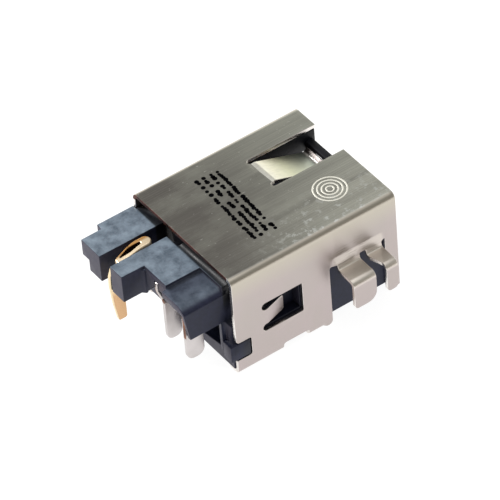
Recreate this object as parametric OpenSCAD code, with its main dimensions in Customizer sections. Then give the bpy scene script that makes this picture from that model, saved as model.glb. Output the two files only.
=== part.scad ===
// Board-mounted DC barrel jack: a folded metal shield around a moulded insulator, a gold centre
// contact and two plated leaf contacts.
// X runs out of the mouth, Z is up, and the origin is the centre of the mouth on the plug's axis.

/* [Shield] */
// Length of the shield along the plug's travel
shield_length = 9; // [8.6:0.1:10]
// Width over the two side walls
shield_width = 7.6; // [7.5:0.1:8.4]
// Height of the side walls
shield_height = 5.7; // [5.5:0.1:6.2]
// Thickness of the plated sheet
sheet = 0.2; // [0.16:0.01:0.24]
// Outside radius of the two long folds
fold_radius = 0.35; // [0.3:0.05:0.5]
// Gap between the shield and the insulator inside it
shield_gap = 0.03; // [0.02:0.01:0.06]

/* [Socket] */
// Diameter of the plug's bore
bore_diameter = 4.2; // [4:0.05:4.3]
// Depth of the bore behind the mouth
bore_depth = 8; // [7.4:0.1:8.1]
// Lead-in chamfer at the mouth
mouth_chamfer = 0.2; // [0.1:0.05:0.25]
// Height of the shield's top above the bore's axis
axis_below_top = 3.05; // [3:0.05:3.2]
// Distance from the bore's axis to the far wall's outside
axis_from_far_wall = 2.65; // [2.6:0.05:2.9]

/* [Centre contact] */
// Diameter of the pin that enters the plug
pin_diameter = 1.2; // [1:0.05:1.3]
// Distance from the mouth back to the pin's tip
pin_setback = 0.8; // [0.5:0.1:1.5]
// Length of the pin's rounded nose
pin_nose = 0.35; // [0.2:0.05:0.45]
// Diameter of the neck that passes through the back wall
neck_diameter = 0.7; // [0.5:0.05:0.8]
// Length of the oval cup on the tail
cup_length = 1.92; // [1.7:0.02:2]
// Depth of the cup
cup_depth = 0.75; // [0.6:0.05:0.9]
// Wall of the cup
cup_wall = 0.15; // [0.12:0.01:0.2]
// How far the cup's rim stands above the rear blocks
cup_stand = 0.1; // [0.05:0.01:0.2]
// Distance from the blocks' rear face to the cup's front end
cup_front = 2.42; // [2.2:0.02:2.6]
// Outside width of the cup
cup_width = 0.56; // [0.5:0.02:0.74]
// Gap between the tail and the near side of its slot
tail_gap = 0.04; // [0.03:0.01:0.08]
// Thickness of the tail's strip
tail_sheet = 0.2; // [0.16:0.01:0.24]
// Width of the leg seen from the side
tail_leg_width = 0.72; // [0.6:0.01:0.8]
// Distance from the shield's top to the leg's tip
tail_leg_below_top = 4.3; // [4:0.05:4.6]

/* [Leaf contacts] */
// Thickness of the leaf contacts' strip
leaf_sheet = 0.2; // [0.16:0.01:0.24]
// Width of the sleeve contact's leg
sleeve_leg_width = 0.93; // [0.8:0.01:1.1]
// Width of the switch contact's leg
switch_leg_width = 0.8; // [0.7:0.01:1]
// How far the sleeve contact's bow reaches into the bore
sleeve_reach = 0.3; // [0.1:0.05:0.4]
// Length of the straight stretch of the sleeve contact's arm
sleeve_straight = 2.2; // [2:0.1:2.4]
// Length of the bow ahead of it
sleeve_run = 3.4; // [3:0.1:3.5]
// Gap between the sleeve contact and the switch contact
switch_gap = 0.06; // [0.05:0.01:0.15]
// Side step of the switch contact's leg
switch_jog = 0.5; // [0.4:0.05:0.55]
// Distance from the shield's top to the leaf contacts' tips
leaf_below_top = 4.33; // [4.2:0.01:4.8]
// Height of the leaf contacts' arms
leaf_arm_height = 1; // [0.8:0.05:1.1]

/* [Contact finger] */
// Width of the notch in the shield's top
notch_width = 2.15; // [1.9:0.05:2.3]
// Length of the notch from the mouth
notch_length = 3.75; // [3.2:0.05:4.2]
// Width of the slits beside the finger
finger_slit = 0.28; // [0.15:0.01:0.3]
// Drop of the finger's tip below the top
finger_drop = 0.95; // [0.9:0.05:1.2]
// Rise of the lip at the finger's end
finger_lip_rise = 0.15; // [0.1:0.05:0.3]
// Distance from the mouth back to the finger's bend
finger_setback = 0.95; // [0.9:0.05:1.3]

/* [Side lance] */
// Distance from the shield's rear edge to the window
lance_from_rear = 1.5; // [1.2:0.05:1.7]
// Length of the window
lance_window_length = 2.2; // [1.9:0.05:2.3]
// Height of the window
lance_window_height = 1.65; // [1.4:0.05:1.9]
// Distance from the shield's top to the window
lance_below_top = 2.3; // [2.1:0.05:2.5]
// Width of the slits beside the lance
lance_slit = 0.4; // [0.3:0.02:0.44]
// Length of the lance
lance_length = 1.6; // [1.3:0.05:1.7]
// How far the lance's tip is set in
lance_set = 0.4; // [0.2:0.02:0.46]

/* [Board wings] */
// Distance from the shield's top to the wings' folds
wing_below_top = 2.3; // [2.1:0.05:2.5]
// Distance from the mouth to the opening's rear edge
wing_opening_rear = 3.77; // [3.6:0.01:4]
// Width of the strip left at the mouth
front_strip = 0.7; // [0.6:0.02:0.9]
// Gap behind the rear wing
wing_gap = 0.36; // [0.3:0.02:0.45]
// Width of the rear wing
rear_wing_width = 1.23; // [1:0.01:1.3]
// Width of the front wing
front_wing_width = 0.88; // [0.7:0.01:0.9]
// Gap ahead of the front wing
front_wing_gap = 0.27; // [0.15:0.01:0.3]
// Distance from the wall's outside to the leg's outside
wing_reach = 1.32; // [1.1:0.02:1.6]
// How much narrower the front wing's leg is than its root
front_wing_taper = 0.25; // [0:0.01:0.3]
// How far above the wings' slots the sheet starts to lean out
wing_lead = 0.5; // [0.2:0.05:0.6]
// Lean of the sheet above the wings, in degrees
wing_lean = 14; // [5:1:20]
// Inside radius of the crease at the wings' roots
wing_root_bend = 0.1; // [0.06:0.01:0.15]
// Inside radius of the fold above the legs
wing_bend = 0.14; // [0.1:0.01:0.2]
// Fall of the wings from root to shoulder, in degrees
wing_slope = 2; // [0:1:8]
// How far the leg tips reach below the top
leg_below_top = 4.12; // [3.9:0.02:4.6]

/* [Lower edge] */
// Height of the raised stretches of the side walls' lower edge
edge_rise = 0.4; // [0.2:0.05:0.6]
// Distance from the mouth to the front of the raised stretch
raised_front = 5.08; // [5.05:0.01:5.2]
// Length of the raised stretch
raised_length = 1.4; // [1.2:0.05:1.5]
// Width of the tabs folded under the insulator
bottom_tab = 0.7; // [0.4:0.05:1]
// Height of the notch at the wall's rear edge
hook_notch_height = 1.02; // [0.8:0.02:1.2]
// Depth of the notch at the wall's rear edge
hook_notch_depth = 0.82; // [0.5:0.01:0.9]
// Height of the hook below the notch
hook_height = 0.85; // [0.7:0.05:1]

/* [Rear blocks] */
// How far the rear blocks stand behind the shield
block_length = 3.1; // [2.8:0.05:3.4]
// Distance from the shield's top down to the blocks' tops
block_below_top = 0.8; // [0.7:0.05:1]
// Distance from the shield's top down to the board
board_below_top = 2.88; // [2.7:0.02:3]
// Width of the slot that holds the gold tail
tail_slot_width = 0.82; // [0.8:0.02:0.9]
// Distance from the bore's axis to the slot's near side
tail_slot_near = 0.03; // [0:0.01:0.2]
// Length of the stem at the back of the centre block
stem_length = 1.22; // [1:0.02:1.4]
// Width of that stem
stem_width = 0.92; // [0.8:0.02:1]
// Width of the centre block
centre_block_width = 2.6; // [2.4:0.05:2.7]
// Width of the near block
near_block_width = 1.68; // [1.5:0.02:1.8]
// Length of the near block
near_block_length = 2.12; // [1.9:0.02:2.3]
// Thickness of the near block's roof
near_roof = 0.38; // [0.36:0.02:0.5]
// Step down from the centre block to the near block
near_step = 0.2; // [0.1:0.02:0.3]
// Chamfer along the near block's top edge
near_chamfer = 0.28; // [0.1:0.02:0.3]
// Thickness of the near block's side wall
near_wall = 0.22; // [0.18:0.02:0.3]
// Height of the flange at the back of the far block
flange_height = 0.9; // [0.7:0.05:1.1]
// How far the insulator stops short of the shield's rear edge above the blocks
top_recess = 0.35; // [0.2:0.05:0.5]

/* [Hidden] */
$fn = 48;
// A small overlap that joins touching solids
e = 0.01;
// Length of a cut that runs clear of the part
clear = 1;

// The shield's faces in the part's frame
top_z = axis_below_top;
floor_z = top_z - shield_height;
far_y = axis_from_far_wall;
near_y = far_y - shield_width;
mid_y = (far_y + near_y) / 2;
rear_x = -shield_length;

// The insulator's faces inside the shield
core_inset = sheet + shield_gap;
core_top_z = top_z - core_inset;
core_far_y = far_y - core_inset;
core_near_y = near_y + core_inset;
core_floor_z = floor_z + core_inset;
core_front_x = -0.05;
core_rear_x = rear_x - 0.05;
// How far the rear blocks are rooted in the core
root = 0.5;

// The rear blocks
block_top_z = top_z - block_below_top;
board_z = top_z - board_below_top;
block_rear_x = rear_x - block_length;
tail_slot_far = tail_slot_near + tail_slot_width;
stem_near_y = tail_slot_near - stem_width;
stem_bottom_z = board_z + 0.55;
centre_rear_x = block_rear_x + stem_length;
centre_near_y = tail_slot_near - centre_block_width;
near_near_y = centre_near_y - near_block_width;
near_rear_x = rear_x - near_block_length;
near_roof_z = block_top_z - near_step;
// The arch under the centre block, over the switch contact
arch_z = block_top_z - 0.78;
// Setback of the far block's wide part from its flange, and of the flange from the shield's far wall
far_step = 1.1;
flange_inset = 0.35;
far_stem_width = 0.95;
// How far the far block's seat stops short of the shield
seat_relief = 0.4;
// The rib that hangs from the near block to the hook
rib_length = 0.25;
rib_drop = 1.7;

// The cup and the leg of the centre contact
cup_front_x = block_rear_x + cup_front;
cup_rear_x = cup_front_x - cup_length;
cup_near_y = tail_slot_near + tail_gap;
cup_far_y = cup_near_y + cup_width;
cup_rim_z = block_top_z + cup_stand;
cup_floor_z = cup_rim_z - cup_depth;
tail_tip_z = top_z - tail_leg_below_top;
tail_bulge_x = block_rear_x - 0.04;
tail_leg_front_x = tail_bulge_x + tail_leg_width;
blade_top_z = block_top_z - 0.9;
riser_x = rear_x + 0.12;

// The leaf contacts
leaf_tip_z = top_z - leaf_below_top;
arm_floor_z = board_z + 0.2;
arm_top_z = arm_floor_z + leaf_arm_height;
sleeve_y = near_near_y + near_wall + 0.05 + leaf_sheet / 2;
sleeve_rear_x = near_rear_x + 0.15;
sleeve_lip = 0.5;
switch_y = centre_near_y + 0.32;
switch_rear_x = centre_rear_x - 0.02;
switch_tab_y = switch_y + switch_jog;
switch_tab_z = arch_z + 0.35;

// The pocket that holds the leaf contacts beside the bore
pocket_wall = 0.25;
pocket_far_y = -bore_diameter / 2 - pocket_wall;
pocket_near_y = near_near_y + near_wall;
pocket_front_x = sleeve_rear_x + sleeve_leg_width + sleeve_straight + sleeve_run + sleeve_lip + 0.3;
pocket_top_z = arm_top_z + 0.25;
pocket_floor_z = floor_z + 1.05;
// The window for the sleeve contact's bow
window_length = 2.1;

// The notch in the top and the slot below it
notch_far_y = mid_y + 2.2;
notch_near_y = notch_far_y - notch_width;
finger_width = notch_width - 2 * finger_slit;
bridge_top_z = bore_diameter / 2 + 0.25;
bridge_rear_x = -0.575;
bridge_front_x = -0.2;

// The lance's window
lance_window_rear = rear_x + lance_from_rear;
lance_window_front = lance_window_rear + lance_window_length;
lance_window_top = top_z - lance_below_top;
lance_window_floor = lance_window_top - lance_window_height;

// The wings along X, from the mouth backwards
wing_top_z = top_z - wing_below_top;
front_wing_front_x = -front_strip - front_wing_gap;
front_wing_rear_x = front_wing_front_x - front_wing_width;
rear_wing_rear_x = -wing_opening_rear + wing_gap;
rear_wing_front_x = rear_wing_rear_x + rear_wing_width;

// The lower edge of the side walls
raised_rear_x = -raised_front - raised_length;
corner = 0.12;
hook_top_z = floor_z + hook_height;

// The edge of a bent strip: each step is [straight length, bend angle, inside radius]
function turn(p, a, s) = p + s * [cos(a), sin(a)];
function bend_parts(angle) = max(1, ceil(abs(angle) / 12));
function strip_mid(steps, t, i = 0, p = [0, 0], a = 0) =
    i == len(steps) ? [[p, a]] :
    let (
        q = turn(p, a, steps[i][0]),
        b = steps[i][1],
        r = steps[i][2] + t / 2,
        side = b < 0 ? -1 : 1,
        c = turn(q, a + 90 * side, r),
        n = bend_parts(b)
    )
    concat(
        [[p, a]],
        b == 0 ? [[q, a]] : [for (k = [0 : n]) [turn(c, a + b * k / n - 90 * side, r), a + b * k / n]],
        strip_mid(steps, t, i + 1, b == 0 ? q : turn(c, a + b - 90 * side, r), a + b)
    );
function strip_edge(mid, offset) = [for (m = mid) turn(m[0], m[1] + 90, offset)];
function reversed(list) = [for (i = [len(list) - 1 : -1 : 0]) list[i]];
function distinct(list) =
    [for (i = [0 : len(list) - 1]) if (i == 0 || norm(list[i] - list[max(0, i - 1)]) > 0.002) list[i]];

// A strip of thickness t that starts at the origin along angle a
module bent_strip(steps, t, a = 0) {
    mid = strip_mid(steps, t, 0, [0, 0], a);
    polygon(distinct(concat(strip_edge(mid, t / 2), reversed(strip_edge(mid, -t / 2)))));
}

// A block from one corner to the other
module block(low, high) {
    translate(low) cube(high - low);
}

// A rectangle with round corners, between two corners of a plane figure
module rounded_rect(low, high, r) {
    size = high - low;
    translate(low + [r, 0]) square([size.x - 2 * r, size.y]);
    translate(low + [0, r]) square([size.x, size.y - 2 * r]);
    for (x = [r, size.x - r], y = [r, size.y - r])
        translate(low + [x, y]) circle(r);
}

// A figure drawn in X and Z, given depth along Y from y0 to y1
module along_y(y0, y1) {
    translate([0, y1, 0]) rotate([90, 0, 0]) linear_extrude(y1 - y0) children();
}

// A figure drawn in Y and Z, given length along X from x0 to x1
module along_x(x0, x1) {
    translate([x0, 0, 0]) rotate([90, 0, 90]) linear_extrude(x1 - x0) children();
}

// The same on both side walls: the far one is the mirror image about the shield's middle
module both_walls() {
    children();
    translate([0, 2 * mid_y, 0]) mirror([0, 1, 0]) children();
}

// The outline of the folded sheet: a top with a wall down each side
module fold_outline(inset) {
    w = shield_width - 2 * inset;
    h = shield_height - inset;
    r = fold_radius - inset;
    translate([mid_y - w / 2, floor_z - e]) square([w, h - r + e]);
    translate([mid_y - w / 2 + r, floor_z]) square([w - 2 * r, h]);
    for (side = [-1, 1])
        translate([mid_y + side * (w / 2 - r), floor_z + h - r]) circle(r);
}

module folded_sheet() {
    difference() {
        along_x(rear_x, 0) fold_outline(0);
        along_x(rear_x - clear, clear) fold_outline(sheet);
        block([rear_x - clear, near_y - clear, floor_z - clear], [clear, far_y + clear, floor_z]);
    }
}

// What a rounded corner of radius r takes from a lower edge; side is the side of the corner it lies on
module edge_corner(r, side) {
    difference() {
        translate([side > 0 ? -r : 0, -e]) square([r, r + e]);
        translate([side > 0 ? -r : r, r]) circle(r);
    }
}

// The raised stretch of the lower edge, between the tabs that fold in
module raised_edge_cut() {
    front_x = -raised_front;
    translate([raised_rear_x, floor_z - clear]) square([raised_length, clear + edge_rise - corner]);
    rounded_rect([raised_rear_x, floor_z - clear / 2], [front_x, floor_z + edge_rise], corner);
    translate([raised_rear_x, floor_z]) edge_corner(corner, 1);
}

// The opening below the wings, and the short end of the strip at the mouth
module wing_opening_cut() {
    rear = -wing_opening_rear;
    height = wing_top_z - floor_z;
    translate([rear, floor_z - clear]) square([wing_opening_rear - front_strip, height + clear - corner]);
    rounded_rect([rear, floor_z], [-front_strip, wing_top_z], corner);
    translate([rear, floor_z]) edge_corner(0.35, 1);
    translate([-front_strip - e, floor_z - clear]) square([front_strip + clear, clear + 0.15]);
    translate([-front_strip, floor_z + 0.15]) edge_corner(0.3, -1);
}

// The notch above the hook at the wall's rear edge
module hook_notch_cut() {
    notch_front_x = rear_x + hook_notch_depth;
    notch_top_z = hook_top_z + hook_notch_height;
    translate([rear_x - clear, hook_top_z]) square([clear + hook_notch_depth - corner, hook_notch_height]);
    rounded_rect([rear_x, hook_top_z], [notch_front_x, notch_top_z], corner);
    translate([rear_x, notch_top_z]) edge_corner(0.2, -1);
    translate([rear_x, floor_z]) edge_corner(corner, -1);
}

// The lance's window: two slits with round rear ends and an open front
module lance_window_cut() {
    for (z = [lance_window_top - lance_slit, lance_window_floor])
        rounded_rect([lance_window_rear, z], [lance_window_front, z + lance_slit], lance_slit / 2 - e);
    rounded_rect(
        [lance_window_rear + lance_slit / 2, lance_window_floor],
        [lance_window_front, lance_window_top],
        corner / 2
    );
}

// The lance, bent in about its rear end, with round corners at its tip
module lance() {
    reach = lance_length - lance_slit / 2;
    angle = asin(lance_set / reach);
    heel = 0.1;
    root_x = lance_window_rear + lance_slit / 2 - heel;
    low = lance_window_floor + lance_slit;
    high = lance_window_top - lance_slit;
    intersection() {
        translate([root_x, near_y + sheet / 2, low])
            linear_extrude(high - low)
                bent_strip([[heel, angle, sheet], [reach - 2 * heel, 0, 0]], sheet);
        along_y(near_y - clear, near_y + clear)
            rounded_rect([root_x - clear, low], [root_x + reach * cos(angle) - heel, high], corner);
    }
}

// One board wing: the wall leans out, then level, then down as a solder leg that may be narrower
module wing(x0, x1, taper) {
    mid_lean = 0.5;
    mid_root = wing_root_bend + sheet / 2;
    mid_fold = wing_bend + sheet / 2;
    drop = wing_lead + 0.31;
    start_z = wing_top_z + wing_lead;
    lean_drop = mid_lean * sin(wing_lean) + mid_root * (cos(wing_slope) - sin(wing_lean));
    lean = (drop - lean_drop) / cos(wing_lean);
    lean_out = mid_lean * (1 - cos(wing_lean)) + lean * sin(wing_lean);
    bends_out = mid_root * (cos(wing_lean) - sin(wing_slope)) + mid_fold * (1 - sin(wing_slope));
    level = (wing_reach - lean_out - bends_out) / cos(wing_slope);
    shoulder = drop + level * sin(wing_slope) + mid_fold * cos(wing_slope);
    leg_tip_z = top_z - leg_below_top;
    intersection() {
        translate([x1, near_y + sheet / 2, start_z]) rotate([90, 0, -90])
            linear_extrude(x1 - x0)
                bent_strip([
                    [0, wing_lean, mid_lean - sheet / 2],
                    [lean, 90 - wing_slope - wing_lean, wing_root_bend],
                    [level, wing_slope - 90, wing_bend],
                    [start_z - shoulder - leg_tip_z, 0, 0]
                ], sheet, -90);
        union() {
            along_y(near_y - wing_reach - clear, near_y + clear)
                leg_outline(x0 + taper, x1, leg_tip_z, start_z + clear);
            linear_extrude(start_z + clear)
                polygon([
                    [x0, near_y + clear],
                    [x0 + taper + e, near_y + clear],
                    [x0 + taper + e, near_y - wing_reach + mid_fold],
                    [x0, near_y - wing_reach / 3]
                ]);
        }
    }
}

// The outline of a wing seen from the side: its leg has one small and one large round corner
module leg_outline(x0, x1, z0, z1) {
    small = 0.2;
    large = (x1 - x0) * 0.42;
    translate([x0 + small, z0]) square([x1 - x0 - small - large, large]);
    translate([x0, z0 + large]) square([x1 - x0, z1 - z0 - large]);
    translate([x0, z0 + small]) square([small * 2, large]);
    translate([x0 + small, z0 + small]) circle(small);
    translate([x1 - large, z0 + large]) circle(large);
}

// A tab folded in under the insulator along the wall's lower edge
module bottom_fold(x0, x1) {
    r = 0.1;
    translate([x0, near_y + sheet / 2, floor_z + sheet + r]) rotate([90, 0, 90])
        linear_extrude(x1 - x0)
            bent_strip([[0, 90, r], [bottom_tab - sheet / 2 - r, 0, 0]], sheet, -90);
}

// The finger: bent down at its root, straight to the contact bend, then a short lip
module finger() {
    root_x = -notch_length + 0.1;
    run = -finger_setback - root_x;
    angle = atan(finger_drop / run);
    lip_angle = 42;
    translate([root_x - 0.1, notch_near_y + finger_slit + finger_width, top_z - sheet / 2])
        rotate([90, 0, 0]) linear_extrude(finger_width)
            bent_strip([
                [0.1, -angle, 0.15],
                [run / cos(angle) - 0.16, angle + lip_angle, 0.08],
                [finger_lip_rise / sin(lip_angle), 0, 0]
            ], sheet);
}

// The notch in the top, with the slits' round ends
module notch_cut() {
    translate([0, 0, top_z - clear]) linear_extrude(2 * clear) {
        translate([-notch_length + 0.12, notch_near_y]) square([notch_length + clear, notch_width]);
        for (y = [notch_near_y, notch_far_y - finger_slit])
            rounded_rect(
                [-notch_length - 0.15, y],
                [-notch_length + 0.6, y + finger_slit],
                finger_slit / 2 - e
            );
    }
}

module shield() {
    color([0.74, 0.72, 0.7]) {
        difference() {
            folded_sheet();
            notch_cut();
            both_walls() along_y(near_y - clear, near_y + sheet + 0.1) {
                raised_edge_cut();
                wing_opening_cut();
                hook_notch_cut();
            }
            along_y(near_y - clear, near_y + sheet + 0.1) lance_window_cut();
        }
        finger();
        lance();
        both_walls() {
            wing(rear_wing_rear_x, rear_wing_front_x, 0);
            wing(front_wing_rear_x, front_wing_front_x, front_wing_taper);
            bottom_fold(rear_x + 0.35, raised_rear_x - corner);
            bottom_fold(-raised_front + 0.15, -wing_opening_rear - 0.4);
        }
    }
}

// The part of the insulator inside the shield
module core() {
    r = fold_radius - sheet;
    width = core_far_y - core_near_y;
    difference() {
        along_x(core_rear_x, core_front_x) {
            translate([core_near_y, core_floor_z]) square([width, core_top_z - r - core_floor_z]);
            translate([core_near_y + r, core_floor_z]) square([width - 2 * r, core_top_z - core_floor_z]);
            for (y = [core_near_y + r, core_far_y - r])
                translate([y, core_top_z - r]) circle(r);
        }
        // The rear face stands back above the blocks and beside the near one
        block([core_rear_x - clear, near_y, block_top_z], [rear_x + top_recess, far_y, top_z]);
        block([core_rear_x - clear, near_y, board_z], [rear_x + top_recess, near_near_y + e, top_z]);
        // The lower edges are thinner where the wings leave the shield open
        both_walls()
            block([-wing_opening_rear, near_y, floor_z - clear],
                  [clear, core_near_y + 0.3, floor_z + edge_rise + 0.02]);
    }
}

// The ledges that stand in the notches at the walls' rear edges
module hook_ledges() {
    z0 = hook_top_z + 0.04;
    both_walls()
        block([rear_x - 0.3, near_y + 0.02, z0],
              [rear_x + hook_notch_depth - 0.05, core_near_y + 0.4, z0 + hook_notch_height - 0.1]);
}

// The block on the far side of the gold tail: a wide part, a flange and a stem
module far_block() {
    front_x = rear_x + root;
    // The part beside the shield stands clear of the board
    block([block_rear_x + far_step, tail_slot_far, board_z], [rear_x - seat_relief, far_y, block_top_z]);
    block([block_rear_x + far_step, tail_slot_far, board_z + 0.1], [rear_x - e, far_y, block_top_z]);
    block([rear_x - 2 * e, tail_slot_far, board_z + 0.1], [front_x, core_far_y, block_top_z]);
    block([block_rear_x, tail_slot_far, block_top_z - flange_height],
          [front_x, far_y - flange_inset, block_top_z]);
    block([block_rear_x, tail_slot_far, stem_bottom_z],
          [front_x, tail_slot_far + far_stem_width, block_top_z]);
}

// The small pilaster in the inner corner of the centre block
module pilaster() {
    depth = 0.16;
    translate([0, 0, stem_bottom_z]) linear_extrude(block_top_z - 0.12 - stem_bottom_z)
        polygon([
            [centre_rear_x - depth - 0.1, stem_near_y + e],
            [centre_rear_x + e, stem_near_y + e],
            [centre_rear_x + e, stem_near_y - depth],
            [centre_rear_x - 0.1, stem_near_y - depth]
        ]);
}

// The block between the gold tail and the leaf contacts, arched over the switch contact
module centre_block() {
    block([block_rear_x, stem_near_y, stem_bottom_z], [rear_x + root, tail_slot_near, block_top_z]);
    pilaster();
    along_x(centre_rear_x, rear_x + root)
        polygon([
            [stem_near_y + e, stem_bottom_z - 0.1],
            [stem_near_y + e, block_top_z],
            [centre_near_y, block_top_z],
            [centre_near_y, arch_z],
            [stem_near_y - 0.7, arch_z]
        ]);
}

// The block over the leaf contacts: a roof and a near side wall whose rear edge leans forward
module near_block() {
    lean = 0.22;
    intersection() {
        along_x(near_rear_x, rear_x + root)
            polygon([
                [near_near_y, board_z],
                [near_near_y, near_roof_z - near_chamfer],
                [near_near_y + near_chamfer * 1.4, near_roof_z],
                [centre_near_y + e, near_roof_z],
                [centre_near_y + e, near_roof_z - near_roof],
                [near_near_y + near_wall, near_roof_z - near_roof],
                [near_near_y + near_wall, board_z]
            ]);
        along_y(near_near_y, centre_near_y + e)
            polygon([
                [near_rear_x, near_roof_z],
                [near_rear_x, near_roof_z - near_roof],
                [near_rear_x + lean, board_z],
                [rear_x + root, board_z],
                [rear_x + root, near_roof_z]
            ]);
    }
    block([rear_x - rib_length, near_near_y, board_z - rib_drop],
          [rear_x + 0.3, pocket_near_y, board_z + 0.3]);
}

// The pocket beside the bore, open at the back, with a window for the sleeve contact's bow
module leaf_pocket() {
    step = 0.9;
    block([rear_x - clear, pocket_near_y, pocket_floor_z], [pocket_front_x, pocket_far_y, pocket_top_z]);
    block([pocket_front_x - window_length, pocket_near_y, arm_floor_z - 0.1],
          [pocket_front_x, 0, arm_top_z + 0.1]);
    // The wedge-shaped way out at the back, under the blocks
    along_x(rear_x - clear, rear_x + 0.8)
        polygon([
            [pocket_near_y, pocket_floor_z],
            [pocket_far_y + step, pocket_floor_z - step / 2],
            [pocket_far_y + step, board_z],
            [pocket_far_y, pocket_top_z],
            [pocket_near_y, pocket_top_z]
        ]);
}

// The slot that grips the switch contact's tab, in the arch of the centre block
module switch_slot() {
    gap = 0.05;
    half = leaf_sheet / 2 + gap;
    block([switch_rear_x - gap, switch_tab_y - half, arch_z - 0.1],
          [switch_rear_x + switch_leg_width + gap, switch_tab_y + half, switch_tab_z + gap]);
}

// The slot for the gold tail, open at the top and the back, and the way through to the pin's neck
module tail_slot() {
    block([block_rear_x - clear, tail_slot_near, floor_z + 0.9], [rear_x, tail_slot_far, top_z]);
    block([rear_x - clear, tail_slot_near, -neck_diameter / 2 - 0.1], [riser_x + 0.5, tail_slot_far, top_z]);
}

// The slot in the top for the finger, with a level sill left across it just ahead of the finger's lip
module finger_slot() {
    block([-notch_length - 0.2, notch_near_y, 0], [bridge_rear_x, notch_far_y, top_z]);
    block([bridge_rear_x - e, notch_near_y, bridge_top_z], [clear, notch_far_y, top_z]);
    block([bridge_front_x, notch_near_y, 0], [clear, notch_far_y, top_z]);
}

// The recess behind the lance, beside the core's thick near side
module lance_recess() {
    inset = 0.08;
    block([lance_window_rear, near_y, lance_window_floor + inset],
          [lance_window_front - 0.05, near_y + sheet + lance_set + 0.15, lance_window_top - inset]);
}

// The bore, its lead-in and the hole for the pin's neck
module bore_cut() {
    rotate([0, 90, 0]) {
        translate([0, 0, -bore_depth]) cylinder(d = bore_diameter, h = bore_depth + clear);
        translate([0, 0, core_front_x - mouth_chamfer])
            cylinder(d1 = bore_diameter, d2 = bore_diameter + 4 * mouth_chamfer, h = 2 * mouth_chamfer);
        translate([0, 0, rear_x - clear])
            cylinder(d = neck_diameter, h = shield_length - bore_depth + 2 * clear);
    }
}

// A small pocket in the centre block's top beside the shield, open to the tail's slot
module top_pocket() {
    block([rear_x, tail_slot_near - 0.82, block_top_z - 0.55],
          [rear_x + top_recess, tail_slot_near + e, block_top_z + e]);
}

module housing() {
    color([0.27, 0.32, 0.38]) difference() {
        union() {
            core();
            hook_ledges();
            far_block();
            centre_block();
            near_block();
        }
        bore_cut();
        finger_slot();
        lance_recess();
        leaf_pocket();
        switch_slot();
        tail_slot();
        top_pocket();
    }
}

// The plan of the cup: a slot shape with two round ends, drawn inside its outline by the insets
module cup_plan(near_inset, far_inset, rear_inset, front_inset) {
    y0 = cup_near_y + near_inset;
    y1 = cup_far_y - far_inset;
    r = (y1 - y0) / 2;
    x0 = cup_rear_x + rear_inset + r;
    x1 = cup_front_x - front_inset - r;
    translate([x0, y0]) square([x1 - x0, y1 - y0]);
    for (x = [x0, x1])
        translate([x, y0 + r]) circle(r);
}

// The oval cup at the head of the tail: solid at its front and open in a slit at its back
module cup() {
    dish = 0.35;
    nose = 0.5;
    slit = 0.14;
    difference() {
        translate([0, 0, cup_floor_z]) linear_extrude(cup_depth) cup_plan(0, 0, 0, 0);
        intersection() {
            translate([0, 0, cup_floor_z - clear]) linear_extrude(cup_depth + 2 * clear)
                cup_plan(tail_sheet, cup_wall, cup_wall, nose);
            along_y(cup_near_y, cup_far_y)
                polygon([
                    [cup_rear_x, cup_floor_z + cup_wall],
                    [cup_front_x - nose - dish, cup_floor_z + cup_wall],
                    [cup_front_x - nose, cup_rim_z + e],
                    [cup_rear_x, cup_rim_z + e]
                ]);
        }
        block([cup_rear_x - e, cup_near_y + tail_sheet, cup_floor_z + cup_wall],
              [cup_rear_x + 2 * cup_wall, cup_near_y + tail_sheet + slit, cup_rim_z + e]);
        // The rim falls away towards the leg
        along_y(cup_near_y - e, cup_far_y + e)
            polygon([
                [cup_rear_x - e, cup_rim_z - 0.6],
                [cup_rear_x + 0.25, cup_rim_z - 0.2],
                [cup_rear_x + 0.6, cup_rim_z + e],
                [cup_rear_x - e, cup_rim_z + e]
            ]);
    }
}

// The leg's outline seen from the side: its rear edge bulges, then tapers to the tip
module tail_leg_outline() {
    tip_chamfer = 0.08;
    taper = 0.24;
    polygon([
        [cup_rear_x + 0.25, block_top_z - 0.35],
        [tail_bulge_x + 0.2, block_top_z - 0.25],
        [tail_bulge_x + 0.08, block_top_z - 0.5],
        [tail_bulge_x, block_top_z - 0.85],
        [tail_bulge_x, board_z + 0.7],
        [tail_bulge_x + 0.1, board_z - 0.4],
        [tail_bulge_x + taper, tail_tip_z + tip_chamfer],
        [tail_bulge_x + taper + tip_chamfer, tail_tip_z],
        [tail_leg_front_x - tip_chamfer, tail_tip_z],
        [tail_leg_front_x, tail_tip_z + tip_chamfer],
        [tail_leg_front_x, cup_floor_z],
        [cup_rear_x + 0.6, cup_floor_z + e],
        [cup_rear_x + 0.6, cup_floor_z + cup_wall]
    ]);
}

// The blade's outline: up from the pin's neck in the back wall, back through the slot and up to the cup
module blade_outline() {
    width = 0.4;
    overlap = 5 * cup_wall;
    polygon([
        [riser_x, -neck_diameter / 2],
        [riser_x + width, -neck_diameter / 2],
        [riser_x + width, blade_top_z],
        [cup_front_x, blade_top_z],
        [cup_front_x - cup_wall, cup_floor_z + cup_wall],
        [cup_front_x - overlap, cup_floor_z + cup_wall],
        [cup_front_x - overlap, blade_top_z - width / 2],
        [cup_front_x - cup_wall, blade_top_z - width],
        [riser_x, blade_top_z - width]
    ]);
}

module centre_contact() {
    tip_x = -pin_setback;
    color([0.93, 0.76, 0.45]) {
        rotate([0, 90, 0]) {
            translate([0, 0, -bore_depth]) cylinder(d = pin_diameter, h = bore_depth + tip_x - pin_nose);
            translate([0, 0, tip_x - pin_nose - e])
                cylinder(d1 = pin_diameter, d2 = pin_diameter * 0.45, h = pin_nose + e);
            translate([0, 0, riser_x + e]) cylinder(d = neck_diameter, h = e - riser_x - bore_depth);
        }
        cup();
        along_y(cup_near_y, cup_near_y + tail_sheet) {
            blade_outline();
            tail_leg_outline();
        }
    }
}

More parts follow.
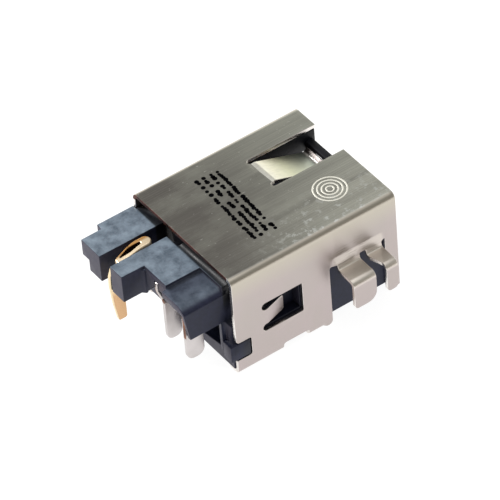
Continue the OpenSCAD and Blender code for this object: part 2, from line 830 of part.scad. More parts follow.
// A leg with a rounded tip, drawn in X and Z
module leaf_leg(x0, width, z0, z1) {
    tip = 0.42 * width;
    translate([x0, z0 + tip]) square([width, z1 - z0 - tip]);
    translate([x0 + tip, z0]) square([width - 2 * tip, 2 * tip]);
    for (x = [x0 + tip, x0 + width - tip])
        translate([x, z0 + tip]) circle(tip);
}

// The arm runs forward beside the bore and bows in through the window
module sleeve_arm() {
    bow_y = -bore_diameter / 2 + sleeve_reach;
    angle = atan((bow_y - sleeve_y) / sleeve_run);
    translate([sleeve_rear_x + sleeve_leg_width - 0.05, sleeve_y, arm_floor_z])
        linear_extrude(arm_top_z - arm_floor_z)
            bent_strip([
                [sleeve_straight, angle, 0.4],
                [sleeve_run / cos(angle) - 0.35, -angle - 45, 0.25],
                [sleeve_lip, 0, 0]
            ], leaf_sheet);
}

module sleeve_contact() {
    leg_top_z = near_roof_z - near_roof - 0.05;
    color([0.78, 0.76, 0.74]) {
        along_y(sleeve_y - leaf_sheet / 2, sleeve_y + leaf_sheet / 2)
            leaf_leg(sleeve_rear_x, sleeve_leg_width, leaf_tip_z, leg_top_z);
        sleeve_arm();
    }
}

// The arm swings over to lie beside the sleeve contact's arm, which rests against it with no plug in
module switch_arm() {
    lead = 0.25;
    swing = 45;
    bend = 0.3;
    shift = switch_y - sleeve_y - leaf_sheet - switch_gap;
    run = (shift - 2 * (bend + leaf_sheet / 2) * (1 - cos(swing))) / sin(swing);
    translate([switch_rear_x + switch_leg_width - 0.05, switch_y, arm_floor_z + 0.2])
        linear_extrude(leaf_arm_height - 0.4)
            bent_strip([[lead, -swing, bend], [run, swing, bend], [lead, 0, 0]], leaf_sheet);
}

module switch_contact() {
    turn_angle = 64;
    bend = 0.1;
    r = bend + leaf_sheet / 2;
    slant = (switch_jog - 2 * r * (1 - cos(turn_angle))) / sin(turn_angle);
    jog_height = 2 * r * sin(turn_angle) + slant * cos(turn_angle);
    leg = arch_z - jog_height - leaf_tip_z;
    color([0.78, 0.76, 0.74]) {
        intersection() {
            along_x(switch_rear_x, switch_rear_x + switch_leg_width)
                translate([switch_y, leaf_tip_z])
                    bent_strip([
                        [leg, -turn_angle, bend],
                        [slant, turn_angle, bend],
                        [switch_tab_z - arch_z, 0, 0]
                    ], leaf_sheet, 90);
            along_y(near_near_y, tail_slot_near)
                leaf_leg(switch_rear_x, switch_leg_width, leaf_tip_z, top_z);
        }
        switch_arm();
    }
}

shield();
housing();
centre_contact();
sleeve_contact();
switch_contact();
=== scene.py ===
# %% [markdown]
# # A DC barrel jack, made the way the factory makes it
#
# The real part is a small power socket for a circuit board. A steel blank is stamped flat and folded
# into a shield, a dark plastic body is moulded to fit inside it, and three springy metal contacts are
# pushed in from the back. The lesson follows that order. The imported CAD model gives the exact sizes,
# and each visible piece is made again here with the soft edges and the finish of the real one.

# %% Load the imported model
import math
import bmesh
import bpy
from mathutils import Matrix, Vector


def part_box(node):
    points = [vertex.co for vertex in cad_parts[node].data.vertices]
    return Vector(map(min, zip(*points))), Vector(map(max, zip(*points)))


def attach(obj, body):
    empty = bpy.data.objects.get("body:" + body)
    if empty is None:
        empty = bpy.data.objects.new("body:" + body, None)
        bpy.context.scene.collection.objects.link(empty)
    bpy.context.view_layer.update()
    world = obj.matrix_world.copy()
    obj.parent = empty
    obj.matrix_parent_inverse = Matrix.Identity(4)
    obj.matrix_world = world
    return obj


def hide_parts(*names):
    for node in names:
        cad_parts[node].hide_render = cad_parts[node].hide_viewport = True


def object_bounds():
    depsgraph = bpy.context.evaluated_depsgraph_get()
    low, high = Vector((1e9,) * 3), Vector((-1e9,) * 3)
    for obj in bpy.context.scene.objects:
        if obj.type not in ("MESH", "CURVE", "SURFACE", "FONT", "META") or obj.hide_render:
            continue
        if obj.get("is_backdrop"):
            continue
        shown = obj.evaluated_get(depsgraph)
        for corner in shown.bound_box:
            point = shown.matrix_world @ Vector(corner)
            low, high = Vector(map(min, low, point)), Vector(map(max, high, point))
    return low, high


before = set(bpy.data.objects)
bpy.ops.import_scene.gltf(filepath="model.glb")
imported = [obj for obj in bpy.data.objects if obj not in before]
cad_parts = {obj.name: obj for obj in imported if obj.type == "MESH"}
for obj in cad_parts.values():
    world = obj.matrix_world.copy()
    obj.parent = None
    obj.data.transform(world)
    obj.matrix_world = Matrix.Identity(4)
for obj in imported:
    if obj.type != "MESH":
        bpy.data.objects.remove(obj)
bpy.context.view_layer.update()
MM = 0.001

# %% [markdown]
# ## The camera
# A long lens from two hand widths away keeps the jack's parallel edges nearly parallel. It could be
# placed by eye, but an aim point, a direction and a distance say plainly where it stands, and they can
# be changed one at a time. The small roll is the tilt of the camera in the hand.

# %% The camera
AIM = Vector((-5.335, -0.960, -0.103)) * MM
AZIMUTH = math.radians(32.305)
ELEVATION = math.radians(43.244)
ROLL = math.radians(5.022)
DISTANCE = 198.62 * MM
SENSOR = 36
LENS = 317.78

back = Vector((
    -math.sin(AZIMUTH) * math.cos(ELEVATION),
    -math.cos(AZIMUTH) * math.cos(ELEVATION),
    math.sin(ELEVATION),
))
camera = bpy.data.objects.new("camera", bpy.data.cameras.new("camera"))
bpy.context.scene.collection.objects.link(camera)
camera.data.sensor_width = SENSOR
camera.data.lens = LENS
camera.data.clip_start = 1 * MM
camera.data.clip_end = 2
turn = (-back).to_track_quat("-Z", "Y").to_matrix() @ Matrix.Rotation(-ROLL, 3, "Z")
camera.matrix_world = Matrix.Translation(AIM + back * DISTANCE) @ turn.to_4x4()
bpy.context.scene.camera = camera
print("camera", round(DISTANCE / MM), "mm away, lens", LENS)

# %% [markdown]
# ## Sizes
# These are the sizes of the part's own source, in millimetres, written once. X runs out of the mouth,
# Z is up, and the origin is the middle of the mouth on the plug's axis. The box of the CAD shield
# checks them: if the part changes, this cell says so at once.

# %% Sizes in millimetres
SHEET = 0.2
TOP, FLOOR = 3.05, -2.65
FAR, NEAR = 2.65, -4.95
REAR = -9.0
MIDDLE = (FAR + NEAR) / 2
FOLD_RADIUS = 0.35
BOARD = 0.17
ANYWHERE = (-99, 99)

low, high = (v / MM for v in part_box("shield"))
print("shield", [round(v, 2) for v in (*low, *high)])
assert abs(high.z - TOP) < 0.02 and abs(low.z - FLOOR) < 0.02 and abs(low.x - REAR) < 0.02

# %% [markdown]
# ## Colour and nodes
# Colours are written as the hex values that a paint program shows. A render works with linear light,
# so one function turns each value over. A second function adds a node of any kind, gives it its
# settings, joins its inputs and hands back one output, which keeps every material a few lines long. A
# third starts a material from the numbers that are the same all over its surface.

# %% Helpers for colours, nodes and materials
def colour(code):
    parts = [int(code[i:i + 2], 16) / 255 for i in (1, 3, 5)]
    return [c / 12.92 if c <= 0.04045 else ((c + 0.055) / 1.055) ** 2.4 for c in parts] + [1]


def add(tree, kind, inputs={}, out=0, **settings):
    node = tree.nodes.new(kind if "Node" in kind else "ShaderNode" + kind)
    for name, value in settings.items():
        setattr(node, name, value)
    for name, value in inputs.items():
        if isinstance(value, bpy.types.NodeSocket):
            tree.links.new(value, node.inputs[name])
        else:
            node.inputs[name].default_value = value
    return node.outputs[out]


def material(name, **principled):
    made = bpy.data.materials.new(name)
    made.use_nodes = True
    shader = made.node_tree.nodes["Principled BSDF"]
    for socket, value in principled.items():
        shader.inputs[socket.replace("_", " ")].default_value = value
    return made, made.node_tree, shader


print("white is", colour("#ffffff"))

# %% [markdown]
# ## Patterns in real sizes
# Object coordinates are in metres, so a noise with one grain per millimetre has a scale of 1000. Saying
# grains per millimetre along each axis keeps a brushed line long and thin, and a moulded grain round.
# A finish is then built up as a painter would do it: one colour is laid over another where a pattern
# is strong, and only inside some zone of the part.

# %% Patterns sized in grains per millimetre
def grains(tree, per_mm, detail=2, rough=0.5, seed=0):
    where = add(tree, "TexCoord", out="Object")
    scale = [n / MM for n in per_mm]
    scaled = add(tree, "Mapping", {"Vector": where, "Scale": scale, "Location": [seed] * 3})
    return add(tree, "TexNoise", {"Vector": scaled, "Scale": 1, "Detail": detail, "Roughness": rough})


def laid(tree, base, coat, pattern, low=0, high=1, least=0, most=1, inside=1):
    share = add(tree, "MapRange", {0: pattern, 1: low, 2: high, 3: least, 4: most})
    share = add(tree, "Math", {0: share, 1: inside}, operation="MULTIPLY")
    return add(tree, "Mix", {0: share, 6: base, 7: coat}, out=2, data_type="RGBA")


# %% [markdown]
# ## Where a face is and which way it looks
# Wear does not fall evenly on a part. Dust settles on faces that look up, and a polishing belt only
# reaches the top. These two helpers give a material the place and the facing that it needs for that.
# Each rises from 0 to 1 between two values, and a zone takes any number of such ramps. Masks painted
# by hand would do the same, but they would not follow a change of shape.

# %% Zones and facing
def zone(tree, *ramps):
    inside = 1
    for axis, none, full in ramps:
        place = add(tree, "SeparateXYZ", {0: add(tree, "TexCoord", out="Object")}, out=axis)
        place_mm = add(tree, "Math", {0: place, 1: 1 / MM}, operation="MULTIPLY")
        ramp = add(tree, "MapRange", {0: place_mm, 1: none, 2: full})
        inside = add(tree, "Math", {0: ramp, 1: inside}, operation="MULTIPLY")
    return inside


def facing(tree, axis, none, full, inside=1):
    looks = add(tree, "SeparateXYZ", {0: add(tree, "NewGeometry", out="Normal")}, out=axis)
    share = add(tree, "MapRange", {0: looks, 1: none, 2: full})
    return add(tree, "Math", {0: share, 1: inside}, operation="MULTIPLY")


# %% [markdown]
# ## Nickel-plated steel
# The shield is cold-rolled steel strip under a thin nickel plating. The top has been brushed along the
# strip, which leaves fine dark and light lines, while the side walls and the wings keep the smooth
# plating. Handling leaves small pale scuffs beside the long fold. An image texture would do, but a
# noise stretched along X costs nothing and fits at any zoom. Real brushed lines are about a hundredth
# of a millimetre apart, too fine to show, so they are drawn about four times as coarse.

# %% Nickel-plated steel, brushed on top
def plated_walls(tree):
    cloud = grains(tree, (0.4, 0.4, 0.4), detail=3, seed=7)
    tint = laid(tree, colour("#c2b6b4"), colour("#beb5b0"), cloud, 0.35, 0.65)
    # Painted reflection: the wall is painted lighter and yellower towards the long fold.
    tint = laid(tree, tint, colour("#c9c3b2"), zone(tree, ("Z", 1.6, 2.7)), most=0.7)
    # Painted light: faces below the fold that tilt up, the wing tops among them, are painted paler.
    tilted_up_lit = facing(tree, "Z", 0.05, 0.5, zone(tree, ("Z", 2.0, 1.6)))
    tint = laid(tree, tint, colour("#f6eee2"), tilted_up_lit, most=0.8)
    scratches = grains(tree, (0.8, 1, 16), detail=2, seed=51)
    over_wing = zone(tree, ("Z", 0.8, 1.0), ("Z", 1.75, 1.5), ("X", -4.1, -3.6), ("X", -1.5, -2.1))
    return laid(tree, tint, colour("#857a70"), scratches, 0.6, 0.66, most=0.75, inside=over_wing)


def brushed_top(tree, lines):
    broad = grains(tree, (0.1, 2.2, 2.2), detail=3, seed=3)
    patches = grains(tree, (0.35, 0.7, 0.7), detail=4, rough=0.6, seed=41)
    scuffs = grains(tree, (3.2, 3.2, 3.2), detail=4, rough=0.7, seed=21)
    specks = grains(tree, (6, 11, 11), detail=1, seed=31)
    lit_near_front = zone(tree, ("X", -9, 0), ("Y", -1.0, -4.0))
    beside_fold = zone(tree, ("Y", -2.2, -4.4), ("X", -7.5, -4.0))
    # Painted reflection: the top is painted darker at the back and lighter towards the mouth, most of all at
    # its near front corner.
    tint = laid(tree, colour("#85817c"), colour("#cbccc1"), zone(tree, ("X", -7.5, -0.5)))
    tint = laid(tree, tint, colour("#f0efe2"), lit_near_front, most=0.8)
    tint = laid(tree, tint, colour("#6f6d69"), lines, 0.35, 0.68, most=0.5)
    tint = laid(tree, tint, colour("#dddcd5"), lines, 0.3, 0.46, least=0.22, most=0)
    tint = laid(tree, tint, colour("#77746f"), broad, 0.45, 0.75, most=0.45)
    tint = laid(tree, tint, colour("#c3c4b9"), patches, 0.45, 0.7, most=0.4)
    tint = laid(tree, tint, colour("#eceeea"), scuffs, 0.53, 0.62, most=0.9, inside=beside_fold)
    return laid(tree, tint, colour("#f2f2ec"), specks, 0.73, 0.8, most=0.55)


def plated_steel():
    made, tree, shader = material("nickel_plated_steel", Metallic=1.0)
    top = facing(tree, "Z", 0.9, 0.99, zone(tree, ("Z", 2.7, 2.9)))
    lines = grains(tree, (0.16, 22, 22), detail=4, rough=0.7)
    tint = laid(tree, plated_walls(tree), brushed_top(tree, lines), top)
    brushed = add(tree, "MapRange", {0: lines, 1: 0.3, 2: 0.75, 3: 0.26, 4: 0.42})
    roughness = add(tree, "MapRange", {0: top, 3: 0.33, 4: brushed})
    grooves = add(tree, "Math", {0: lines, 1: top}, operation="MULTIPLY")
    tree.links.new(tint, shader.inputs["Base Color"])
    tree.links.new(roughness, shader.inputs["Roughness"])
    bump = add(tree, "Bump", {"Height": grooves, "Distance": 0.0016 * MM, "Strength": 1})
    tree.links.new(bump, shader.inputs["Normal"])
    return made


steel = plated_steel()

# %% [markdown]
# ## The sheared edge
# A stamping tool cuts through the plating, and the corner of the cut rolls over. The rolled corner
# catches a thin bright line of light. At the back of the top the cut is left bare, and it has rusted
# to a dark red-brown. The cut at the end of each slit is painted pale and matt, a painted highlight
# where its edge catches the light.

# %% Sheared edge of the strip
def sheared_edge(name, light, deep, roughness):
    made, tree, shader = material(name, Metallic=1.0, Roughness=roughness)
    patches = grains(tree, (1.6, 1.6, 1.6), detail=3, seed=11)
    tree.links.new(laid(tree, colour(light), colour(deep), patches, 0.42, 0.6), shader.inputs["Base Color"])
    return made


edge = sheared_edge("sheared_steel_edge", "#f3eee9", "#d6cec8", 0.26)
bare = sheared_edge("rusted_steel_edge", "#5d3a34", "#2c201f", 0.5)
# Painted highlight: the cut ends of the slits are painted pale.
slit_end_glint = material("slit_end_glint", Base_Color=colour("#f4f1ea"), Metallic=0.3, Roughness=0.5)[0]

# %% [markdown]
# ## The finger's painted light
# The finger has a metal of its own, painted paler than the sheet around it. Its colour is painted
# light along its length: brightest at its root, where the bend catches the light, a white line at the
# bend into the lip, and dark on the lip at its end, which lies in shade.

# %% Painted light along the finger
# Painted highlight at the root and at the bend into the lip, painted shade on the lip.
FINGER_LIGHT_RAMP = (
    (0.16, "#fdfbe6"), (0.4, "#e9ebcf"), (0.7, "#cdd3c3"),
    (0.85, "#bcc4ba"), (0.88, "#fffdf6"), (0.91, "#524c4b"),
)


def paint_finger_light():
    made, tree, shader = material("finger_steel_with_painted_light", Metallic=1.0, Roughness=0.34)
    along = add(tree, "ValToRGB", {0: zone(tree, ("X", -3.75, -0.6))})
    ramp = along.node.color_ramp
    ramp.elements[0].color, ramp.elements[1].color = colour("#fffdf4"), colour("#4a4544")
    for at, code in FINGER_LIGHT_RAMP:
        ramp.elements.new(at).color = colour(code)
    fine = grains(tree, (0.5, 9, 9), detail=3, seed=17)
    tint = laid(tree, along, colour("#a9a9a0"), fine, 0.4, 0.7, most=0.18)
    tree.links.new(tint, shader.inputs["Base Color"])
    return made


lit_finger_steel = paint_finger_light()

# %% [markdown]
# ## Moulded plastic
# The body is a glass-filled plastic that stands the heat of soldering. It is nearly black with a blue
# cast. The tops of the rear blocks outside the shield carry a pale, mottled bloom of dust and fine
# scratches, which also stands in for the light that falls on them, so it is partly painted light. It
# thins on the low roof beside the step, a painted shadow. Faces that look back are painted a lighter
# purple-grey, painted light, while faces that look to the sides stay dark, and the plastic inside the
# shield and just behind its rear edge is painted darker still, as painted shade. The glass fibres are
# about a hundredth of a millimetre thick, too fine to show, so the grain that stands for them is drawn
# about eight times as coarse.

# %% Glass-filled plastic
def dusty_and_lit_tops(tree):
    # Painted shadow: the bloom thins on the low roof, most of all beside the step.
    step_shadow_falloff = add(tree, "MapRange", {0: zone(tree, ("Y", -4.6, -2.9)), 3: 0.35, 4: 1.0})
    low_roof = add(tree, "Math", {0: zone(tree, ("Z", 2.18, 2.12)), 1: step_shadow_falloff}, operation="MULTIPLY")
    dust_and_light = add(tree, "MapRange", {0: low_roof, 3: 0.85, 4: 0.2})
    # Dust and painted light together: the bloom lies on faces that look up outside the shield.
    settled_and_lit = facing(tree, "Z", 0.7, 0.98, zone(tree, ("X", -8.88, -9.0), ("Z", 1.85, 1.95)))
    return add(tree, "Math", {0: settled_and_lit, 1: dust_and_light}, operation="MULTIPLY")


def moulded_plastic():
    made, tree, shader = material("glass_filled_plastic", IOR=1.5, Specular_IOR_Level=0.25)
    mottle = grains(tree, (1.9, 1.9, 1.9), detail=6, rough=0.62)
    fine = grains(tree, (13, 13, 13), detail=2, rough=0.5, seed=5)
    dark = laid(tree, colour("#1e2235"), colour("#2b2e44"), mottle, 0.35, 0.65)
    # Painted light: faces that look back are painted a lighter purple-grey.
    dark = laid(tree, dark, colour("#4b4653"), facing(tree, "X", -0.5, -0.95), most=0.55)
    pale = laid(tree, colour("#5a6774"), colour("#8c9ba9"), mottle, 0.34, 0.66)
    pale = laid(tree, pale, colour("#8f8f9b"), fine, 0.5, 0.8, most=0.3)
    tint = laid(tree, dark, pale, dusty_and_lit_tops(tree))
    # Painted shade: the plastic inside the shield is painted darker.
    tint = laid(tree, tint, colour("#12141c"), zone(tree, ("X", -8.75, -8.4), ("X", -4.6, -5.0)), most=0.6)
    # Painted shadow: a near-black band just behind and under the shield's rear edge.
    tint = laid(tree, tint, colour("#07080b"), zone(tree, ("X", -9.08, -9.0), ("Z", 0.6, 1.4)), most=0.9)
    roughness = add(tree, "MapRange", {0: mottle, 1: 0.3, 2: 0.7, 3: 0.34, 4: 0.5})
    tree.links.new(tint, shader.inputs["Base Color"])
    tree.links.new(roughness, shader.inputs["Roughness"])
    bump = add(tree, "Bump", {"Height": fine, "Distance": 0.002 * MM, "Strength": 1})
    tree.links.new(bump, shader.inputs["Normal"])
    return made


plastic = moulded_plastic()

# %% [markdown]
# ## Gold and tin
# The centre contact is copper alloy flashed with gold, and the two leaf contacts are plated with tin.
# The gold is painted pale at the cup and on the upper strip, and tan on the leg, which is painted
# light: the pale stands for the bright reflections up there. On the cup the near limb is painted paler
# than the far limb, a painted highlight and shade, and the cut edge at the back of the leg is painted
# pale cream, a painted highlight. The cup's slit lies in its own shade, so it is given a brown of its
# own. Where the tin strip was cut, the bronze shows through.

# %% Gold-flashed and tin-plated strip
def plated_strip(name, light, deep, roughness, low_tint=None):
    made, tree, shader = material(name, Metallic=1.0)
    cloud = grains(tree, (1.1, 1.1, 1.1), detail=2, seed=9)
    tint = laid(tree, colour(light), colour(deep), cloud, 0.35, 0.65)
    # Painted light: the upper gold is painted pale for its bright reflections, the leg below a darker tan.
    if low_tint:
        tint = laid(tree, tint, colour(low_tint), zone(tree, ("Z", 0.9, 0.3)))
    worn = add(tree, "MapRange", {0: cloud, 1: 0.3, 2: 0.7, 3: roughness - 0.04, 4: roughness + 0.06})
    tree.links.new(tint, shader.inputs["Base Color"])
    tree.links.new(worn, shader.inputs["Roughness"])
    return made


def paint_cup_gold_light():
    made, tree, shader = material("gold_on_the_cup", Metallic=0.55, Roughness=0.22)
    # Painted highlight on the near limb, painted shade on the far limb.
    shaded_far_limb = zone(tree, ("Y", 0.36, 0.5))
    tree.links.new(laid(tree, colour("#ffe9c6"), colour("#d19c5c"), shaded_far_limb), shader.inputs["Base Color"])
    return made


gold = plated_strip("gold_flashed_copper", "#fff0cc", "#fde6b8", 0.24, "#d2ab82")
cup_gold = paint_cup_gold_light()
# Painted highlight: the cut edge at the back of the leg is painted pale cream.
gold_cut = material("gold_on_the_cut", Base_Color=colour("#f3dcb4"), Metallic=0.2, Roughness=0.45)[0]
shade_gold = plated_strip("gold_in_the_slit", "#5b3316", "#3f210e", 0.35)
tin = plated_strip("tin_plated_bronze", "#cfc9c8", "#c6c0be", 0.3)
bronze = plated_strip("sheared_bronze_edge", "#9a6d55", "#6e4a3a", 0.4)
print("materials:", [m.name for m in bpy.data.materials])

# %% [markdown]
# ## Drawing a blank
# Every metal piece starts as a flat outline. Each corner is written as a point with its radius, the
# way a toolmaker's drawing gives it, and this function turns the corners into short arcs.

# %% Outlines with round corners
def rounded(corners, step=math.radians(15)):
    points = []
    for i, (x, y, r) in enumerate(corners):
        here = Vector((x, y))
        before = Vector(corners[i - 1][:2]) - here
        after = Vector(corners[(i + 1) % len(corners)][:2]) - here
        if r <= 0:
            points.append(here)
            continue
        a, b = before.normalized(), after.normalized()
        half = a.angle(b) / 2
        reach = min(r / math.tan(half), before.length * 0.49, after.length * 0.49)
        r = reach * math.tan(half)
        centre = here + (a + b).normalized() * (r / math.sin(half))
        start, end = here + a * reach - centre, here + b * reach - centre
        sweep = math.pi - 2 * half
        side = 1 if start.x * end.y - start.y * end.x > 0 else -1
        count = max(2, round(sweep / step))
        for k in range(count + 1):
            t = side * sweep * k / count
            across = start.x * math.cos(t) - start.y * math.sin(t)
            up = start.x * math.sin(t) + start.y * math.cos(t)
            points.append(centre + Vector((across, up)))
    return points


print("a square with round corners has", len(rounded([(0, 0, 1), (9, 0, 1), (9, 9, 1), (0, 9, 1)])), "points")

# %% [markdown]
# ## Stamping it
# A filled 2D curve with a little extrusion and bevel is a plate with rolled edges, holes and all. That
# is quicker and cleaner than cutting holes with booleans, because the bevel follows every outline. The
# faces of the edge are given the second material, which is the bare metal that the cut shows.

# %% A stamped plate
FLAT, CUT = 0, 1


def stamp(outlines, thickness, rim=0.03, rim_steps=2):
    curve = bpy.data.curves.new("blank", "CURVE")
    curve.dimensions = "2D"
    curve.fill_mode = "BOTH"
    curve.extrude = thickness / 2 - rim
    curve.bevel_depth = rim
    curve.bevel_resolution = rim_steps
    curve.offset = -rim
    for number, outline in enumerate(outlines):
        area = sum(a.x * b.y - a.y * b.x for a, b in zip(outline, outline[1:] + outline[:1]))
        if (area > 0) != (number == 0):
            outline = outline[::-1]
        spline = curve.splines.new("POLY")
        spline.points.add(len(outline) - 1)
        for point, corner in zip(spline.points, outline):
            point.co = (*corner, 0, 1)
        spline.use_cyclic_u = True
    holder = bpy.data.objects.new("blank", curve)
    bpy.context.scene.collection.objects.link(holder)
    filled = holder.evaluated_get(bpy.context.evaluated_depsgraph_get())
    plate = bmesh.new()
    plate.from_mesh(bpy.data.meshes.new_from_object(filled))
    bpy.data.objects.remove(holder)
    bmesh.ops.remove_doubles(plate, verts=plate.verts, dist=1e-4)
    plate.normal_update()
    for face in plate.faces:
        face.material_index = FLAT if abs(face.normal.z) > 0.9 else CUT
    return plate


# %% [markdown]
# ## Folding it
# A folded strip is a walk: straight on for a while, then round a bend of some radius. The first function
# says where a point of the flat strip ends up after the walk. The second says where the flat strip must
# be cut into narrow bands, so that each bend comes out round.

# %% Walking along a folded strip
def heading(angle):
    return Vector((math.cos(angle), math.sin(angle)))


def walk(steps, along, above, angle=0.0, start=(0, 0)):
    here = Vector(start)
    for length, bend, inside in steps:
        if along <= length:
            break
        here = here + heading(angle) * length
        along -= length
        if bend:
            side = math.copysign(1, bend)
            radius = inside + SHEET / 2
            centre = here + heading(angle + side * math.pi / 2) * radius
            part = min(abs(bend), along / radius)
            angle += side * part
            here = centre - heading(angle + side * math.pi / 2) * radius
            along -= part * radius
            if part < abs(bend):
                along = 0
                break
    return here + heading(angle) * along + heading(angle + math.pi / 2) * above


def bend_marks(steps, step=math.radians(10)):
    marks, at = [], 0.0
    for length, bend, inside in steps:
        at += length
        if bend:
            arc = abs(bend) * (inside + SHEET / 2)
            count = max(3, round(abs(bend) / step))
            marks += [at + arc * k / count for k in range(count + 1)]
            at += arc
    return marks


def flat_length(steps):
    return sum(length + abs(bend) * (inside + SHEET / 2) for length, bend, inside in steps)


# %% [markdown]
# A flat plate has no points to bend at, so it is cut into narrow bands along each bend first. When the
# folding is done, one function turns any shape into a finished piece.

# %% Cutting bands and turning a folded blank into a piece
def cut_bands(plate, axis, marks, x_range=ANYWHERE, y_range=ANYWHERE):
    across = Vector((1, 0, 0)) if axis == "x" else Vector((0, 1, 0))
    for mark in marks:
        faces = []
        for face in plate.faces:
            xs = [v.co.x for v in face.verts]
            ys = [v.co.y for v in face.verts]
            in_x = max(xs) > x_range[0] and min(xs) < x_range[1]
            in_y = max(ys) > y_range[0] and min(ys) < y_range[1]
            if in_x and in_y:
                faces.append(face)
        geometry = set(faces)
        for face in faces:
            geometry.update(face.edges)
            geometry.update(face.verts)
        bmesh.ops.bisect_plane(plate, geom=list(geometry), plane_co=across * mark, plane_no=across, dist=1e-5)


def finish_piece(name, built, materials, node, sharp=math.radians(35)):
    bmesh.ops.recalc_face_normals(built, faces=built.faces)
    mesh = bpy.data.meshes.new(name)
    for face in built.faces:
        face.smooth = True
    built.to_mesh(mesh)
    built.free()
    mesh.transform(Matrix.Scale(MM, 4))
    mesh.set_sharp_from_angle(angle=sharp)
    piece = bpy.data.objects.new(name, mesh)
    bpy.context.scene.collection.objects.link(piece)
    for one in materials:
        mesh.materials.append(one)
    weighted = piece.modifiers.new("even shading", "WEIGHTED_NORMAL")
    weighted.keep_sharp = True
    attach(piece, "root")
    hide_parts(node)
    print(name, len(mesh.polygons), "faces")


# %% [markdown]
# ## The shield
# The shield is one blank: the top in the middle, a side wall on each side, and every wing, tab, finger
# and lance a tongue of the same sheet. It is drawn flat, with X along the strip and U across it from
# the middle, and folded by one function. Modelling each tongue by itself would leave seams where the
# real sheet is whole.

# %% The shield's folds
right_angle = math.pi / 2
half_width = (FAR - NEAR) / 2 - SHEET / 2
fold_mid = FOLD_RADIUS - SHEET / 2
PAST_THE_WALL = 9
section = [(half_width - fold_mid, -right_angle, FOLD_RADIUS - SHEET), (PAST_THE_WALL, 0, 0)]
wall_start = flat_length(section[:1])
wall_start_z = TOP - SHEET / 2 - fold_mid


def wall_u(z):
    return wall_start + wall_start_z - z


WING_TOP, WING_LEAD, WING_DROP, WING_REACH, LEG_TIP = 0.75, 0.5, 0.81, 1.32, TOP - 4.12
lean_angle, slope = math.radians(14), math.radians(2)
lean_mid, root_mid, leg_mid = 0.5, 0.2, 0.24
lean = WING_DROP - lean_mid * math.sin(lean_angle) - root_mid * (math.cos(slope) - math.sin(lean_angle))
lean /= math.cos(lean_angle)
lean_out = lean_mid * (1 - math.cos(lean_angle)) + lean * math.sin(lean_angle)
bends_out = root_mid * (math.cos(lean_angle) - math.sin(slope)) + leg_mid * (1 - math.sin(slope))
level = (WING_REACH - lean_out - bends_out) / math.cos(slope)
shoulder = WING_DROP + level * math.sin(slope) + leg_mid * math.cos(slope)
wing_start = wall_u(WING_TOP + WING_LEAD)
wing = [
    (0, lean_angle, lean_mid - SHEET / 2),
    (lean, right_angle - slope - lean_angle, root_mid - SHEET / 2),
    (level, slope - right_angle, leg_mid - SHEET / 2),
    (WING_TOP + WING_LEAD - shoulder - LEG_TIP, 0, 0),
]
wing_end = wing_start + flat_length(wing)
level_start = wing_start + flat_length(wing[:2])

TAB, TAB_BEND = 0.7, 0.1
tab_start = wall_u(FLOOR + SHEET + TAB_BEND)
tab = [(0, -right_angle, TAB_BEND), (TAB - SHEET / 2 - TAB_BEND, 0, 0)]
tab_end = tab_start + flat_length(tab)
print("the blank is", round(2 * wing_end, 2), "mm wide before folding")

# %% [markdown]
# The finger is bent down into the mouth, where it touches the plug, and its end turns up in a short
# lip. The lance is pushed in from the near wall and keeps the shield from sliding off the plastic.

# %% The finger and the lance
NOTCH_END, NOTCH_NEAR_U, NOTCH_FAR_U, SLIT, SLIT_END = -3.75, -0.05, -2.2, 0.28, -3.9
FINGER_DROP, FINGER_ROOT, FINGER_BEND_X, LIP_RISE = 0.95, 0.1, -0.95, 0.15
finger_run = FINGER_BEND_X - (NOTCH_END + FINGER_ROOT)
finger_angle = math.atan(FINGER_DROP / finger_run)
lip_angle = math.radians(42)
finger = [
    (FINGER_ROOT, -finger_angle, 0.15),
    (finger_run / math.cos(finger_angle) - 0.16, finger_angle + lip_angle, 0.08),
    (LIP_RISE / math.sin(lip_angle), 0, 0),
]
finger_tip = NOTCH_END + flat_length(finger)

WINDOW_REAR, WINDOW_FRONT, WINDOW_TOP, WINDOW_FLOOR, LANCE_SLIT = -7.5, -5.3, 0.75, -0.9, 0.4
lance_root, lance_angle = WINDOW_REAR + 0.2, math.radians(16.6)
LANCE_LENGTH = 1.1
lance = [(0, lance_angle, SHEET), (LANCE_LENGTH, 0, 0)]
lance_tip = lance_root + flat_length(lance)
print("finger", round(finger_tip - NOTCH_END, 2), "mm, lance", round(lance_tip - lance_root, 2), "mm")

# %% [markdown]
# The outline of one wall runs from the rear edge to the mouth, down round the hook, the tabs and both
# wings. The other wall is the same outline mirrored, and the notch with its finger joins the two.

# %% The outline of the blank
RAISED_REAR, RAISED_FRONT, OPENING_REAR, STRIP = -6.48, -5.08, -3.77, -0.7
TAB_FRONT, FOOT_REAR = OPENING_REAR - 0.58, OPENING_REAR - 0.48
WINGS = ((-3.41, -2.18, 0), (-1.85, -0.97, 0.25))
HOOK_TOP, HOOK_NOTCH_TOP, HOOK_FRONT = FLOOR + 0.85, FLOOR + 1.87, REAR + 0.82
edge_u = wall_u(FLOOR + 0.4)
wall = [
    (REAR, wall_u(HOOK_NOTCH_TOP), 0.2), (HOOK_FRONT, wall_u(HOOK_NOTCH_TOP), 0.12),
    (HOOK_FRONT, wall_u(HOOK_TOP), 0.12), (REAR, wall_u(HOOK_TOP), 0.06),
    (REAR, tab_end, 0.15), (RAISED_REAR, tab_end, 0.1), (RAISED_REAR, edge_u, 0.12),
    (RAISED_FRONT, edge_u, 0.12), (RAISED_FRONT, tab_end, 0.1), (TAB_FRONT, tab_end, 0.1),
    (FOOT_REAR, wall_u(FLOOR), 0.05), (OPENING_REAR, wall_u(FLOOR), 0.35),
    (OPENING_REAR, wall_u(WING_TOP), 0.12),
]
